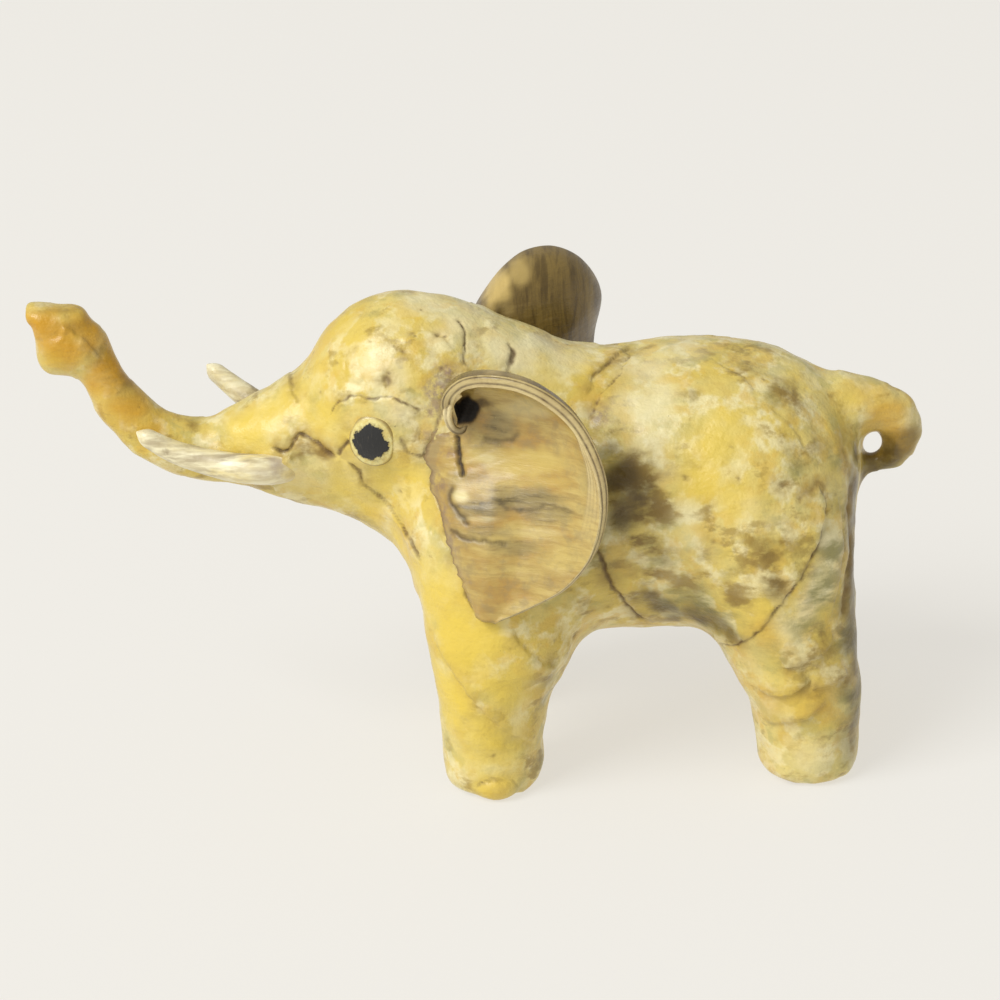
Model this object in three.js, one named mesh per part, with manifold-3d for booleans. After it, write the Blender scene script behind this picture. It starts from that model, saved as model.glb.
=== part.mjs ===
// A papier-mache elephant with its trunk raised, standing on four short legs.
// Millimetres, +Z up. The trunk points towards -X and the left side of the animal towards -Y.
// The origin is on the ground, under the middle of the figure's box.
// The whole animal is one moulded form. The ears, the tusks and the eyes are pieces of their own,
// stuck to it with a thin seam between.
import * as THREE from "three";
import { mergeVertices } from "three/addons/utils/BufferGeometryUtils.js";
import Module from "manifold-3d";

const wasm = await Module();
wasm.setup();

// Named sizes of the standing body
const backHeight = 113; // top of the back above the ground
const bellyHeight = 36; // underside of the belly above the ground
const bodyWidth = 74;
const shoulderX = -26;
const rumpX = 20;
const legSpread = 27; // from the middle plane to the middle of each foot
const frontFootX = -41.5;
const hindFootX = 43.5;
const frontFootRadius = 13.4;
const hindFootRadius = 14;
const soleRounding = 6;
const farHindSetBack = 2; // the far hind leg stands a little further back

// Named sizes of the head and the trunk
const crownHeight = 130.5;
const headX = -60;
const headRadius = 27;
const headZ = crownHeight - headRadius; // the middle of the head
const headSquash = 0.9; // width of the head as a share of its height
const trunkRootRadius = 15;
const trunkTipRadius = 6.2;
const trunkReach = 98; // from the middle of the head to the face of the trunk's end
const nostrilDepth = 0.8;

// Widths over which the moulded parts run into each other
const wideJoin = 10;
const trunkJoin = 7;
const tightJoin = 3;

// Named sizes of the pieces that are stuck on
const seam = 0.5; // clearance left where a piece meets the form
const earThickness = 2.6;
const earLipEnd = 0.8; // share of the way round the rim where its upper part stops turning out
const earLipFade = 0.45; // share of the rim over which it stops
const earFan = 0.55; // how closely the upper rows crowd together at the root
const earDish = 1.5; // how late the lower sheet leaves the form; 1 would be a straight slope
const earRootReach = 3.2; // how far the sheet runs on to the form in front of its root line
const tuskRadius = 4.3;
const tuskTipRadius = 2;
const eyeWidth = 12.4;
const eyeHeight = 15.2;
const eyeThickness = 0.7; // at its rim
const eyeDome = 1.1; // how far its middle stands out beyond its rim

// Rim of each ear from its front top round to its lower tip: [x, height, distance out]
const leftRim = [
  [-47.4, 105.8, 36],
  [-48.3, 114.4, 40],
  [-44.9, 119.7, 43],
  [-39.2, 122.1, 46],
  [-31.7, 122, 48],
  [-24.2, 119.4, 50],
  [-17, 113.3, 51],
  [-12.3, 105.4, 52],
  [-9.6, 96.2, 52.5],
  [-9.5, 87.5, 52.5],
  [-11.3, 79.1, 52],
  [-14.6, 72.2, 51],
  [-19.7, 66.2, 50],
  [-26.1, 61.6, 48.5],
  [-33.5, 57.6, 47],
  [-38.8, 54.9, 45.5],
];
const rightRim = [
  [-44.6, 103.6, 35],
  [-41.4, 111.8, 38.5],
  [-37.2, 117.6, 41.5],
  [-32.6, 122, 44.5],
  [-27, 124.8, 47.5],
  [-19.5, 124.8, 49.5],
  [-12.5, 120.2, 50.5],
  [-8.2, 111, 51.5],
  [-10.4, 100, 52],
  [-11.4, 90, 52.5],
  [-12.2, 80.5, 52],
  [-14.8, 73, 51],
  [-20.2, 66.8, 50],
  [-26.8, 62, 48.5],
  [-33.8, 58, 47],
  [-38.6, 55.2, 45.5],
];
// Line where each ear is fixed, from its top to its tip: [x, height]
const earRoot = [
  [-44.8, 102.5],
  [-46.6, 99],
  [-47.1, 92.4],
  [-46.9, 84.9],
  [-46.5, 77.3],
  [-45.4, 69.6],
  [-43.9, 61.8],
  [-42.2, 55.3],
];
const earRows = 15;
const earColumns = 8;

// Middle line of each tusk from the cheek to the tip: [x, height, distance out]
const leftTuskLine = [
  [headX - 30.6, headZ - 15.5, 15.6],
  [headX - 39, headZ - 15.2, 14.8],
  [headX - 50, headZ - 14.1, 12.6],
  [headX - 62, headZ - 10.7, 10.4],
  [headX - 72, headZ - 5, 9.2],
];
const rightTuskLine = [
  [headX - 24, headZ - 17, 15],
  [headX - 32, headZ - 15, 17.5],
  [headX - 41, headZ - 10.7, 21],
  [headX - 49, headZ - 5.5, 24.5],
  [headX - 56, headZ, 27.5],
];
const tuskRings = 12;
const tuskSides = 8;

const eyeX = headX - 9;
const eyeZ = headZ - 5.5;
const eyeRings = 3;
const eyeSides = 16;

// Widths of the cells that the moulded form is worked out on
const tightCell = 2.6;
const fineCell = 3.6;
const coarseCell = 5.6;

const mix = (a, b, t) => a + (b - a) * t;
const smooth = (t) => {
  const c = Math.min(1, Math.max(0, t));
  return c * c * (3 - 2 * c);
};

const ease = (t) => mix(t, smooth(t), 0.4);

// The lesser of two distances, rounded over a width k where the forms meet
function blend(a, b, k) {
  const h = Math.max(k - Math.abs(a - b), 0) / k;
  return Math.min(a, b) - (h * h * k) / 4;
}

const carve = (form, tool, k) => -blend(-form, tool, k);

// A limb: balls strung closely along a smooth curve. Each station is [x, y, z, radius].
// squash narrows the limb across, and the distance is worked out in the stretched space.
function limb(stations, squash = 1, balls = 26) {
  const curve = new THREE.CatmullRomCurve3(
    stations.map(([x, y, z]) => new THREE.Vector3(x, y, z)),
    false,
    "centripetal",
  );
  const string = [];
  for (let i = 0; i <= balls; i++) {
    const t = i / balls;
    const at = t * (stations.length - 1);
    const k = Math.min(stations.length - 2, Math.floor(at));
    const radius = mix(stations[k][3], stations[k + 1][3], ease(at - k));
    const p = curve.getPoint(t);
    string.push([p.x, p.y, p.z, radius]);
  }
  return (x, y, z) => {
    let least = Infinity;
    for (const [cx, cy, cz, r] of string) {
      const dy = (y - cy) / squash;
      const d = Math.sqrt((x - cx) ** 2 + dy * dy + (z - cz) ** 2) - r;
      if (d < least) least = d;
    }
    return least;
  };
}

// Where the parts of the animal are
const torsoMiddle = (backHeight + bellyHeight) / 2;
const torsoRadius = (backHeight - bellyHeight) / 2;
const torsoSquash = bodyWidth / (2 * torsoRadius);
const rumpEndX = rumpX + torsoRadius; // the back of the body's round, behind which the tail curls

const torso = limb(
  [
    [shoulderX - 5, 0, torsoMiddle + 3, torsoRadius - 4],
    [shoulderX + 7, 0, torsoMiddle - 1.6, torsoRadius - 1.2],
    [shoulderX + 18, 0, torsoMiddle - 1.4, torsoRadius - 0.2],
    [rumpX - 12, 0, torsoMiddle - 1.4, torsoRadius + 0.2],
    [rumpX, 0, torsoMiddle - 1.4, torsoRadius - 1],
  ],
  torsoSquash,
);

const rump = limb(
  [
    [rumpX + 2, 0, torsoMiddle + 3, torsoRadius - 5.5],
    [rumpX + 14, 0, torsoMiddle + 8, torsoRadius - 13.5],
    [rumpEndX - 14.5, 0, torsoMiddle + 13, 15],
    [rumpEndX - 3.5, 0, torsoMiddle + 18.8, 9.4],
  ],
  0.95,
);

const tail = limb([
  [rumpEndX - 6.5, 0, torsoMiddle + 18.5, 9.2],
  [rumpEndX + 3, 0, torsoMiddle + 19.5, 7.4],
  [rumpEndX + 10, 0, torsoMiddle + 16.7, 6.6],
  [rumpEndX + 12.5, 0, torsoMiddle + 10.5, 5.4],
  [rumpEndX + 10.5, 0, torsoMiddle + 5, 4.4],
  [rumpEndX + 5, 0, torsoMiddle + 2.2, 3.2],
  [rumpEndX - 1.5, 0, torsoMiddle + 1, 2.9],
  [rumpEndX - 7.5, 0, torsoMiddle + 0.5, 2.9],
]);

const head = limb(
  [
    [headX, 0, headZ, headRadius],
    [headX + 8, 0, headZ - 2, headRadius],
    [headX + 26, 0, headZ - 13, headRadius + 1],
  ],
  headSquash,
);

const trunk = limb(
  [
    [headX - 10, 0, headZ - 7, headRadius - 7],
    [headX - 22, 0, headZ - 9.5, trunkRootRadius + 1.6],
    [headX - 33.5, 0, headZ - 11.6, trunkRootRadius - 0.6],
    [headX - 41, 0, headZ - 12.6, trunkRootRadius - 2.8],
    [headX - 48, 0, headZ - 14.2, trunkRootRadius - 5.3],
    [headX - 59, 0, headZ - 13.8, trunkRootRadius - 6.8],
    [headX - 68.5, 0, headZ - 9.6, trunkTipRadius + 1],
    [headX - 75.5, 0, headZ - 2, trunkTipRadius + 0.4],
    [headX - 80.5, 0, headZ + 7, trunkTipRadius - 0.2],
    [headX - 84.5, 0, headZ + 16, trunkTipRadius],
  ],
  1,
  44,
);

// The end of the trunk: a flat upper lip over a round lower one, with a hollow between
const trunkEnd = limb(
  [
    [headX - 85.5, 0, headZ + 18, trunkTipRadius + 0.2],
    [headX - 90, 0, headZ + 19.5, trunkTipRadius + 0.6],
    [headX - 91.8, 0, headZ + 20, trunkTipRadius + 0.4],
  ],
  1.05,
  8,
);
const upperLip = limb(
  [
    [headX - 86.5, 0, headZ + 25.2, 3.2],
    [headX - 97.4, 0, headZ + 26.4, 3],
  ],
  1.9,
  8,
);
const lowerLip = limb(
  [
    [headX - 92.2, 0, headZ + 14, 5.6],
    [headX - 89.5, 0, headZ + 13.6, 5],
  ],
  1.1,
  4,
);
const nostrilRadius = 3.6;
const nostrilX = headX - trunkReach - nostrilRadius + nostrilDepth;
const nostril = limb(
  [
    [nostrilX, 0, headZ + 21, nostrilRadius],
    [nostrilX - nostrilRadius, 0, headZ + 21, nostrilRadius],
  ],
  1.2,
  4,
);

const jaw = limb([
  [headX - 35, 0, headZ - 22, 4.6],
  [headX - 26, 0, headZ - 22.6, 8],
  [headX - 14, 0, headZ - 23.4, 12.4],
  [headX - 2, 0, headZ - 26.5, 15.5],
  [headX + 10, 0, headZ - 32, 17],
]);

function frontLeg(side) {
  const y = side * legSpread;
  return limb(
    [
      [frontFootX - 0.2, y, -8, frontFootRadius],
      [frontFootX, y, 14, frontFootRadius + 0.4],
      [frontFootX + 0.8, y, 30, frontFootRadius + 2.2],
      [frontFootX + 4.2, y * 0.86, 47, frontFootRadius + 7.4],
      [frontFootX + 5, y * 0.6, 68, frontFootRadius + 12],
    ],
    1,
    30,
  );
}

function hindLeg(side) {
  const y = side * legSpread;
  const x = hindFootX + (side > 0 ? farHindSetBack : 0);
  return limb(
    [
      [x, y, -8, hindFootRadius],
      [x - 0.6, y, 12, hindFootRadius],
      [x - 1.4, y, 26, hindFootRadius + 1.6],
      [x - 5.6, y * 0.9, 42, hindFootRadius + 4.6],
      [x - 10.2, y * 0.75, 62, hindFootRadius + 8.8],
      [x - 14, y * 0.5, 76, hindFootRadius + 10.6],
    ],
    1,
    30,
  );
}

const legs = [frontLeg(-1), frontLeg(1), hindLeg(-1), hindLeg(1)];
const soleDepth = 0.6; // the form runs this far below the ground, where it is cut flat

// Distance from a point to the surface of the moulded form, negative inside
function form(x, y, z) {
  let d = blend(torso(x, y, z), rump(x, y, z), wideJoin);
  d = blend(d, head(x, y, z), wideJoin);
  d = blend(d, jaw(x, y, z), trunkJoin);
  for (const leg of legs) {
    const solid = carve(leg(x, y, z), z + soleDepth, soleRounding);
    d = blend(d, solid, wideJoin);
  }
  let nose = blend(trunk(x, y, z), trunkEnd(x, y, z), tightJoin);
  nose = blend(nose, upperLip(x, y, z), tightJoin);
  nose = blend(nose, lowerLip(x, y, z), tightJoin);
  nose = carve(nose, nostril(x, y, z), tightJoin);
  d = blend(d, nose, trunkJoin);
  return blend(d, tail(x, y, z), tightJoin);
}

function gradient(field, x, y, z, step = 0.2) {
  return new THREE.Vector3(
    field(x + step, y, z) - field(x - step, y, z),
    field(x, y + step, z) - field(x, y - step, z),
    field(x, y, z + step) - field(x, y, z - step),
  ).multiplyScalar(0.5 / step);
}

// Moves a point along the field's slope until it lies on the level asked for
function settle(field, p, level = 0, rounds = 4) {
  for (let i = 0; i < rounds; i++) {
    const g = gradient(field, p.x, p.y, p.z);
    const off = (field(p.x, p.y, p.z) - level) / Math.max(g.lengthSq(), 0.05);
    p.addScaledVector(g, -off);
  }
  return p;
}

// Cuts a span into cells. Each band is [where it ends, width of its cells].
function gridLines(from, to, bands) {
  const lines = [from];
  while (lines.at(-1) < to) {
    const [, cell] = bands.find(([end]) => lines.at(-1) < end);
    lines.push(lines.at(-1) + cell);
  }
  return lines;
}

// The surface where the field is zero, as one vertex in each cell that it crosses
function skin(field, xs, ys, zs) {
  const [nx, ny, nz] = [xs.length, ys.length, zs.length];
  const node = (i, j, k) => (i * ny + j) * nz + k;
  const value = new Float64Array(nx * ny * nz);
  for (let i = 0; i < nx; i++)
    for (let j = 0; j < ny; j++)
      for (let k = 0; k < nz; k++) value[node(i, j, k)] = field(xs[i], ys[j], zs[k]);

  const points = [];
  const cellPoint = new Map();
  const corners = [0, 1, 2, 3, 4, 5, 6, 7].map((c) => [c & 1, (c >> 1) & 1, (c >> 2) & 1]);
  for (let i = 0; i < nx - 1; i++)
    for (let j = 0; j < ny - 1; j++)
      for (let k = 0; k < nz - 1; k++) {
        const sum = new THREE.Vector3();
        let crossings = 0;
        for (let a = 0; a < 8; a++)
          for (const bit of [1, 2, 4]) {
            const b = a | bit;
            if (b === a) continue;
            const [ca, cb] = [corners[a], corners[b]];
            const va = value[node(i + ca[0], j + ca[1], k + ca[2])];
            const vb = value[node(i + cb[0], j + cb[1], k + cb[2])];
            if (va < 0 === vb < 0) continue;
            const t = va / (va - vb);
            sum.x += mix(xs[i + ca[0]], xs[i + cb[0]], t);
            sum.y += mix(ys[j + ca[1]], ys[j + cb[1]], t);
            sum.z += mix(zs[k + ca[2]], zs[k + cb[2]], t);
            crossings++;
          }
        if (!crossings) continue;
        cellPoint.set(node(i, j, k), points.length);
        points.push(sum.divideScalar(crossings));
      }

  // Each grid edge that crosses the surface carries one four-sided face
  const quads = [];
  const steps = [[1, 0, 0], [0, 1, 0], [0, 0, 1]];
  for (let i = 1; i < nx - 1; i++)
    for (let j = 1; j < ny - 1; j++)
      for (let k = 1; k < nz - 1; k++)
        steps.forEach((s, axis) => {
          const here = value[node(i, j, k)] < 0;
          const there = value[node(i + s[0], j + s[1], k + s[2])] < 0;
          if (here === there) return;
          const [u, v] = [steps[(axis + 1) % 3], steps[(axis + 2) % 3]];
          const ring = [[0, 0], [1, 0], [1, 1], [0, 1]].map(([a, b]) =>
            cellPoint.get(node(i - a * u[0] - b * v[0], j - a * u[1] - b * v[1], k - a * u[2] - b * v[2])),
          );
          quads.push(here ? ring : ring.reverse());
        });
  return { points, quads };
}

// Evens out the spacing of the vertices, and puts them back on the surface each time
function relax({ points, quads }, field, rounds) {
  const neighbours = points.map(() => new Set());
  for (const q of quads)
    q.forEach((p, n) => {
      neighbours[p].add(q[(n + 1) % 4]);
      neighbours[p].add(q[(n + 3) % 4]);
    });
  for (let round = 0; round < rounds; round++) {
    const moved = points.map((p, n) => {
      const mean = new THREE.Vector3();
      for (const m of neighbours[n]) mean.add(points[m]);
      mean.divideScalar(neighbours[n].size);
      return p.clone().lerp(mean, 0.5);
    });
    moved.forEach((p, n) => points[n].copy(settle(field, p, 0, 2)));
  }
  return { points, quads };
}

// Splits each four-sided face along its shorter diagonal
function meshOf({ points, quads }) {
  const index = [];
  for (const [a, b, c, d] of quads) {
    const even = points[a].distanceTo(points[c]) < points[b].distanceTo(points[d]);
    if (even) index.push(a, b, c, a, c, d);
    else index.push(a, b, d, b, c, d);
  }
  const geometry = new THREE.BufferGeometry().setFromPoints(points);
  geometry.setIndex(index);
  return geometry;
}

function solidOf(geometry) {
  const bare = geometry.clone();
  bare.deleteAttribute("normal");
  bare.deleteAttribute("uv");
  const merged = mergeVertices(bare, 1e-4);
  return new wasm.Manifold(
    new wasm.Mesh({
      numProp: 3,
      vertProperties: merged.attributes.position.array,
      triVerts: new Uint32Array(merged.index.array),
    }),
  );
}

function geometryOf(solid) {
  const mesh = solid.getMesh();
  const geometry = new THREE.BufferGeometry();
  geometry.setAttribute("position", new THREE.BufferAttribute(new Float32Array(mesh.vertProperties), 3));
  geometry.setIndex(new THREE.BufferAttribute(mesh.triVerts, 1));
  return geometry;
}

// The moulded form, cut flat at the ground so that the figure stands on four soles
function animal() {
  const tipX = headX - trunkReach - 13;
  const tailEndX = rumpEndX + 27.5;
  const half = bodyWidth / 2 + 20;
  const xs = gridLines(tipX, tailEndX, [
    [headX - 76, tightCell],
    [headX - 30, fineCell],
    [rumpEndX - 2.5, coarseCell],
    [tailEndX, tightCell],
  ]);
  const ys = gridLines(0.01, half, [
    [11, fineCell],
    [half, coarseCell],
  ]);
  const across = [...ys.slice(1).reverse().map((y) => -y), ...ys];
  const zs = gridLines(-8.3, crownHeight + 8, [
    [torsoMiddle - 2, coarseCell],
    [torsoMiddle + 16, fineCell],
    [headZ + 5, fineCell * 1.2],
    [crownHeight + 8, fineCell],
  ]);
  const surface = relax(skin(form, xs, across, zs), form, 6);
  const size = 2 * (tailEndX - tipX);
  const above = new THREE.BoxGeometry(size, size, size).translate(0, 0, size / 2);
  return geometryOf(solidOf(meshOf(surface)).intersect(solidOf(above)));
}

// Joins a sheet's two faces round all four sides into one closed skin.
// Each face is a list of rows, and both run the same way.
function sheet(front, back) {
  const rows = front.length;
  const columns = front[0].length;
  const points = [...front.flat(), ...back.flat()];
  const at = (face, i, j) => face * rows * columns + i * columns + j;
  const quads = [];
  for (let i = 0; i < rows - 1; i++)
    for (let j = 0; j < columns - 1; j++) {
      quads.push([at(0, i, j), at(0, i + 1, j), at(0, i + 1, j + 1), at(0, i, j + 1)]);
      quads.push([at(1, i, j), at(1, i, j + 1), at(1, i + 1, j + 1), at(1, i + 1, j)]);
    }
  const edge = [];
  for (let i = 0; i < rows - 1; i++) edge.push([i, 0]);
  for (let j = 0; j < columns - 1; j++) edge.push([rows - 1, j]);
  for (let i = rows - 1; i > 0; i--) edge.push([i, columns - 1]);
  for (let j = columns - 1; j > 0; j--) edge.push([0, j]);
  edge.forEach(([i, j], n) => {
    const [k, l] = edge[(n + 1) % edge.length];
    quads.push([at(0, i, j), at(1, i, j), at(1, k, l), at(0, k, l)]);
  });
  return { points, quads };
}

const spline = (stations) => new THREE.CatmullRomCurve3(stations, false, "centripetal");
const stationOf = (side) => ([x, z, out]) => new THREE.Vector3(x, side * out, z);

// An ear: a dished sheet from its root line to its rim, its upper rim turned outwards
function ear(side, rim) {
  const rimLine = spline(rim.map(stationOf(side)));
  const rootLine = spline(earRoot.map(([x, z]) => stationOf(side)([x, z, bodyWidth / 2])));
  const middle = (s, t) => {
    const edge = rimLine.getPoint(s);
    const root = settle(form, rootLine.getPoint(mix(s, s * s, earFan)), seam + earThickness / 2);
    const turned = 1 - smooth((s - earLipEnd + earLipFade) / earLipFade);
    const reach = mix(t, Math.sin((t * Math.PI) / 2), turned);
    const rise = mix(t ** earDish, 1 - Math.cos((t * Math.PI) / 2), turned);
    return new THREE.Vector3(
      mix(root.x, edge.x, reach),
      mix(root.y, edge.y, rise),
      mix(root.z, edge.z, reach),
    );
  };
  const front = [];
  const back = [];
  const step = 0.02; // shares of the way between the points that the slope is taken from
  for (let i = 0; i <= earRows; i++) {
    front.push([]);
    back.push([]);
    const s = i / earRows;
    for (let j = 0; j <= earColumns; j++) {
      const t = j / earColumns;
      const p = middle(s, t);
      const alongRim = middle(Math.min(1, s + step), t).sub(middle(Math.max(0, s - step), t));
      const outward = middle(s, Math.min(1, t + step)).sub(middle(s, Math.max(0, t - step)));
      const normal = alongRim.cross(outward).normalize().multiplyScalar(earThickness / 2);
      if (normal.y * side < 0) normal.negate();
      const faces = [p.clone().add(normal), p.clone().sub(normal)];
      if (j === 0) {
        faces[0].copy(settle(form, p.clone().setX(p.x - earRootReach), seam));
        faces[1].copy(settle(form, p.clone(), seam));
      }
      for (const q of faces) if (form(q.x, q.y, q.z) < seam) settle(form, q, seam);
      front[i].push(faces[0]);
      back[i].push(faces[1]);
    }
  }
  return meshOf(side < 0 ? sheet(front, back) : sheet(back, front));
}

// A tusk: rings along its line, narrowing to a blunt tip and laid against the form
function tusk(side, stations) {
  const line = spline(stations.map(stationOf(side)));
  const points = [];
  const quads = [];
  for (let i = 0; i <= tuskRings; i++) {
    const t = i / tuskRings;
    const middle = line.getPoint(t);
    const along = line.getTangent(t);
    const across = new THREE.Vector3(0, 0, 1).cross(along).normalize();
    const upward = along.clone().cross(across);
    const radius = mix(tuskRadius, tuskTipRadius, t ** 2);
    for (let n = 0; n < tuskSides; n++) {
      const angle = (2 * Math.PI * n) / tuskSides;
      const p = middle
        .clone()
        .addScaledVector(across, radius * Math.cos(angle))
        .addScaledVector(upward, radius * Math.sin(angle));
      if (form(p.x, p.y, p.z) < seam) settle(form, p, seam);
      points.push(p);
      const m = (n + 1) % tuskSides;
      const [a, b] = [i * tuskSides, (i + 1) * tuskSides];
      if (i < tuskRings) quads.push([a + n, a + m, b + m, b + n]);
    }
  }
  return meshOf(capped(points, quads, tuskSides));
}

// Closes the open rings at both ends of a tube with a fan round a middle point
function capped(points, quads, sides) {
  const fans = [];
  for (const start of [0, points.length - sides]) {
    const ring = points.slice(start, start + sides);
    const middle = ring.reduce((sum, p) => sum.add(p), new THREE.Vector3()).divideScalar(sides);
    fans.push({ start, middle });
  }
  for (const [end, { start, middle }] of fans.entries()) {
    points.push(middle);
    for (let n = 0; n < sides; n += 2) {
      const ring = [start + n, start + ((n + 1) % sides), start + ((n + 2) % sides)];
      quads.push([points.length - 1, ...(end ? ring : ring.reverse())]);
    }
  }
  return { points, quads };
}

// An eye: a low dome that follows the form beneath it
function eye(side) {
  const points = [];
  const quads = [];
  const levels = [];
  for (let ring = 1; ring <= eyeRings; ring++) levels.push([ring / eyeRings, seam]);
  for (let ring = eyeRings; ring > 0; ring--) {
    const share = ring / eyeRings;
    levels.push([share * 0.96, seam + eyeThickness + eyeDome * (1 - share ** 2)]);
  }
  levels.forEach(([share, level], i) => {
    for (let n = 0; n < eyeSides; n++) {
      const angle = (-side * 2 * Math.PI * n) / eyeSides;
      const x = eyeX + (share * eyeWidth * Math.cos(angle)) / 2;
      const z = eyeZ + (share * eyeHeight * Math.sin(angle)) / 2;
      points.push(settle(form, new THREE.Vector3(x, side * headRadius, z), level, 12));
      const m = (n + 1) % eyeSides;
      const [a, b] = [i * eyeSides, (i + 1) * eyeSides];
      if (i < levels.length - 1) quads.push([a + n, a + m, b + m, b + n]);
    }
  });
  return meshOf(capped(points, quads, eyeSides));
}

const figure = new THREE.Group();
const paint = (color, roughness) => new THREE.MeshStandardMaterial({ color, roughness, metalness: 0 });
const lacquer = paint(0xd9bf63, 0.28);
const earPaint = paint(0xa8925a, 0.34);
const ivory = paint(0xd8cfa8, 0.3);
const eyePaint = paint(0x2a2621, 0.3);

function piece(name, geometry, material) {
  const mesh = new THREE.Mesh(geometry, material);
  mesh.name = name;
  figure.add(mesh);
  return mesh;
}

piece("elephant_form", animal(), lacquer);
piece("left_ear", ear(-1, leftRim), earPaint);
piece("right_ear", ear(1, rightRim), earPaint);
piece("left_tusk", tusk(-1, leftTuskLine), ivory);
piece("right_tusk", tusk(1, rightTuskLine), ivory);
piece("left_eye", eye(-1), eyePaint);
piece("right_eye", eye(1), eyePaint);

const box = new THREE.Box3().setFromObject(figure);
const middle = box.getCenter(new THREE.Vector3());
for (const part of figure.children) part.geometry.translate(-middle.x, -middle.y, 0);

export default figure;
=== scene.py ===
import math

import bmesh
import bpy
import numpy as np
from mathutils import Matrix, Vector, noise
from mathutils.bvhtree import BVHTree


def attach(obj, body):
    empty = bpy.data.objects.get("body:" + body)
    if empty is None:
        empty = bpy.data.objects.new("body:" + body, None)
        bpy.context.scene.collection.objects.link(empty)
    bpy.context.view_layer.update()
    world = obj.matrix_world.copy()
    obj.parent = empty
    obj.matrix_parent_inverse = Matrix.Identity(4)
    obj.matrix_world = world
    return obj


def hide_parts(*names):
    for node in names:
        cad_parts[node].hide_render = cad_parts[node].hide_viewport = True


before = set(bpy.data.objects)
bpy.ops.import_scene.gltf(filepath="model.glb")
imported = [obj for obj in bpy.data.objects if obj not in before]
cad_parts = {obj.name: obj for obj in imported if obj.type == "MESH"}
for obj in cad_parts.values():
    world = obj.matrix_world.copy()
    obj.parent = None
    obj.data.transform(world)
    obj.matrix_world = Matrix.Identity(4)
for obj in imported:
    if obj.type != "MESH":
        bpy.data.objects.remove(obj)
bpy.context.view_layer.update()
mm = 0.001
noise.seed_set(5)  # the vector noise would otherwise follow the clock


# The camera
view = {
    "target": (0.00457, 0.0, 0.0708),  # the point in the middle of the picture
    "distance": 0.9,
    "azimuth": -1.5,  # degrees, a little towards the tail
    "elevation": 22.0,
    "roll": 3.07,
    "lens": 120.0,
    "sensor": 36.0,
    "picture": 1000,  # pixels across
}


def cameraAxes():
    azimuth, elevation, roll = (math.radians(view[k]) for k in ("azimuth", "elevation", "roll"))
    back = Vector((-math.sin(azimuth) * math.cos(elevation), -math.cos(azimuth) * math.cos(elevation),
                   math.sin(elevation)))
    level = (-back).cross(Vector((0, 0, 1))).normalized()
    upright = level.cross(-back)
    right = level * math.cos(roll) - upright * math.sin(roll)
    up = level * math.sin(roll) + upright * math.cos(roll)
    return right, up, back


right, up, back = cameraAxes()
eyePoint = Vector(view["target"]) + back * view["distance"]


def makeCamera():
    camera = bpy.data.objects.new("photo_camera", bpy.data.cameras.new("photo_camera"))
    camera.data.lens = view["lens"]
    camera.data.sensor_width = view["sensor"]
    camera.matrix_world = Matrix.Translation(eyePoint) @ Matrix((right, up, back)).transposed().to_4x4()
    bpy.context.scene.collection.objects.link(camera)
    bpy.context.scene.camera = camera


# Direction of the line of sight through a pixel
def sightThrough(px, py):
    reach = view["lens"] / view["sensor"] * view["picture"]
    half = view["picture"] / 2
    return (right * (px - half) / reach + up * (half - py) / reach - back).normalized()


# The pixels where points given in millimetres show
def seenAt(points):
    reach = view["lens"] / view["sensor"] * view["picture"]
    half = view["picture"] / 2
    away = np.asarray(points) * mm - np.array(eyePoint)
    depth = -(away @ np.array(back))
    return np.stack([half + reach * (away @ np.array(right)) / depth,
                     half - reach * (away @ np.array(up)) / depth], axis=-1)


makeCamera()
print("camera placed")


# Helpers for meshes
def addObject(name, mesh):
    piece = bpy.data.objects.new(name, mesh)
    bpy.context.scene.collection.objects.link(piece)
    return piece


# A mesh from points in millimetres
def meshFrom(name, points, faces):
    mesh = bpy.data.meshes.new(name)
    mesh.from_pydata((np.asarray(points) * mm).tolist(), [], faces)
    mesh.update()
    shadeSmooth(mesh)
    return mesh


def shadeSmooth(mesh):
    mesh.polygons.foreach_set("use_smooth", [True] * len(mesh.polygons))


# Turns the faces of a closed mesh outwards
def turnOut(mesh):
    work = bmesh.new()
    work.from_mesh(mesh)
    bmesh.ops.delete(work, geom=[v for v in work.verts if not v.link_faces], context="VERTS")
    bmesh.ops.recalc_face_normals(work, faces=work.faces)
    work.to_mesh(mesh)
    work.free()


def trianglesOf(mesh):
    return sum(len(p.vertices) - 2 for p in mesh.polygons)


def pointsOf(mesh):
    flat = np.empty(len(mesh.vertices) * 3)
    mesh.vertices.foreach_get("co", flat)
    return flat.reshape(-1, 3) / mm


def normalsOf(mesh):
    flat = np.empty(len(mesh.vertices) * 3)
    mesh.vertex_normals.foreach_get("vector", flat)
    return flat.reshape(-1, 3)


def setPoints(mesh, points):
    mesh.vertices.foreach_set("co", (points * mm).ravel())
    mesh.update()


def setValues(mesh, name, values):
    layer = mesh.attributes.new(name, "FLOAT", "POINT")
    layer.data.foreach_set("value", np.asarray(values, dtype=np.float32))


# The evaluated result of an object's modifiers, as a plain mesh
def settled(piece, name):
    graph = bpy.context.evaluated_depsgraph_get()
    mesh = bpy.data.meshes.new_from_object(piece.evaluated_get(graph), preserve_all_data_layers=True,
                                           depsgraph=graph)
    mesh.name = name
    return mesh


# A CAD node's mesh with its doubles merged and its triangles paired up again
def pairedMesh(node):
    work = bmesh.new()
    work.from_mesh(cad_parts[node].data)
    bmesh.ops.remove_doubles(work, verts=work.verts, dist=0.01 * mm)
    bmesh.ops.join_triangles(work, faces=work.faces, angle_face_threshold=0.7, angle_shape_threshold=0.9)
    mesh = bpy.data.meshes.new(node + "_paired")
    work.to_mesh(mesh)
    work.free()
    return mesh


def smoothStep(t):
    t = np.clip(t, 0.0, 1.0)
    return t * t * (3 - 2 * t)


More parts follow.
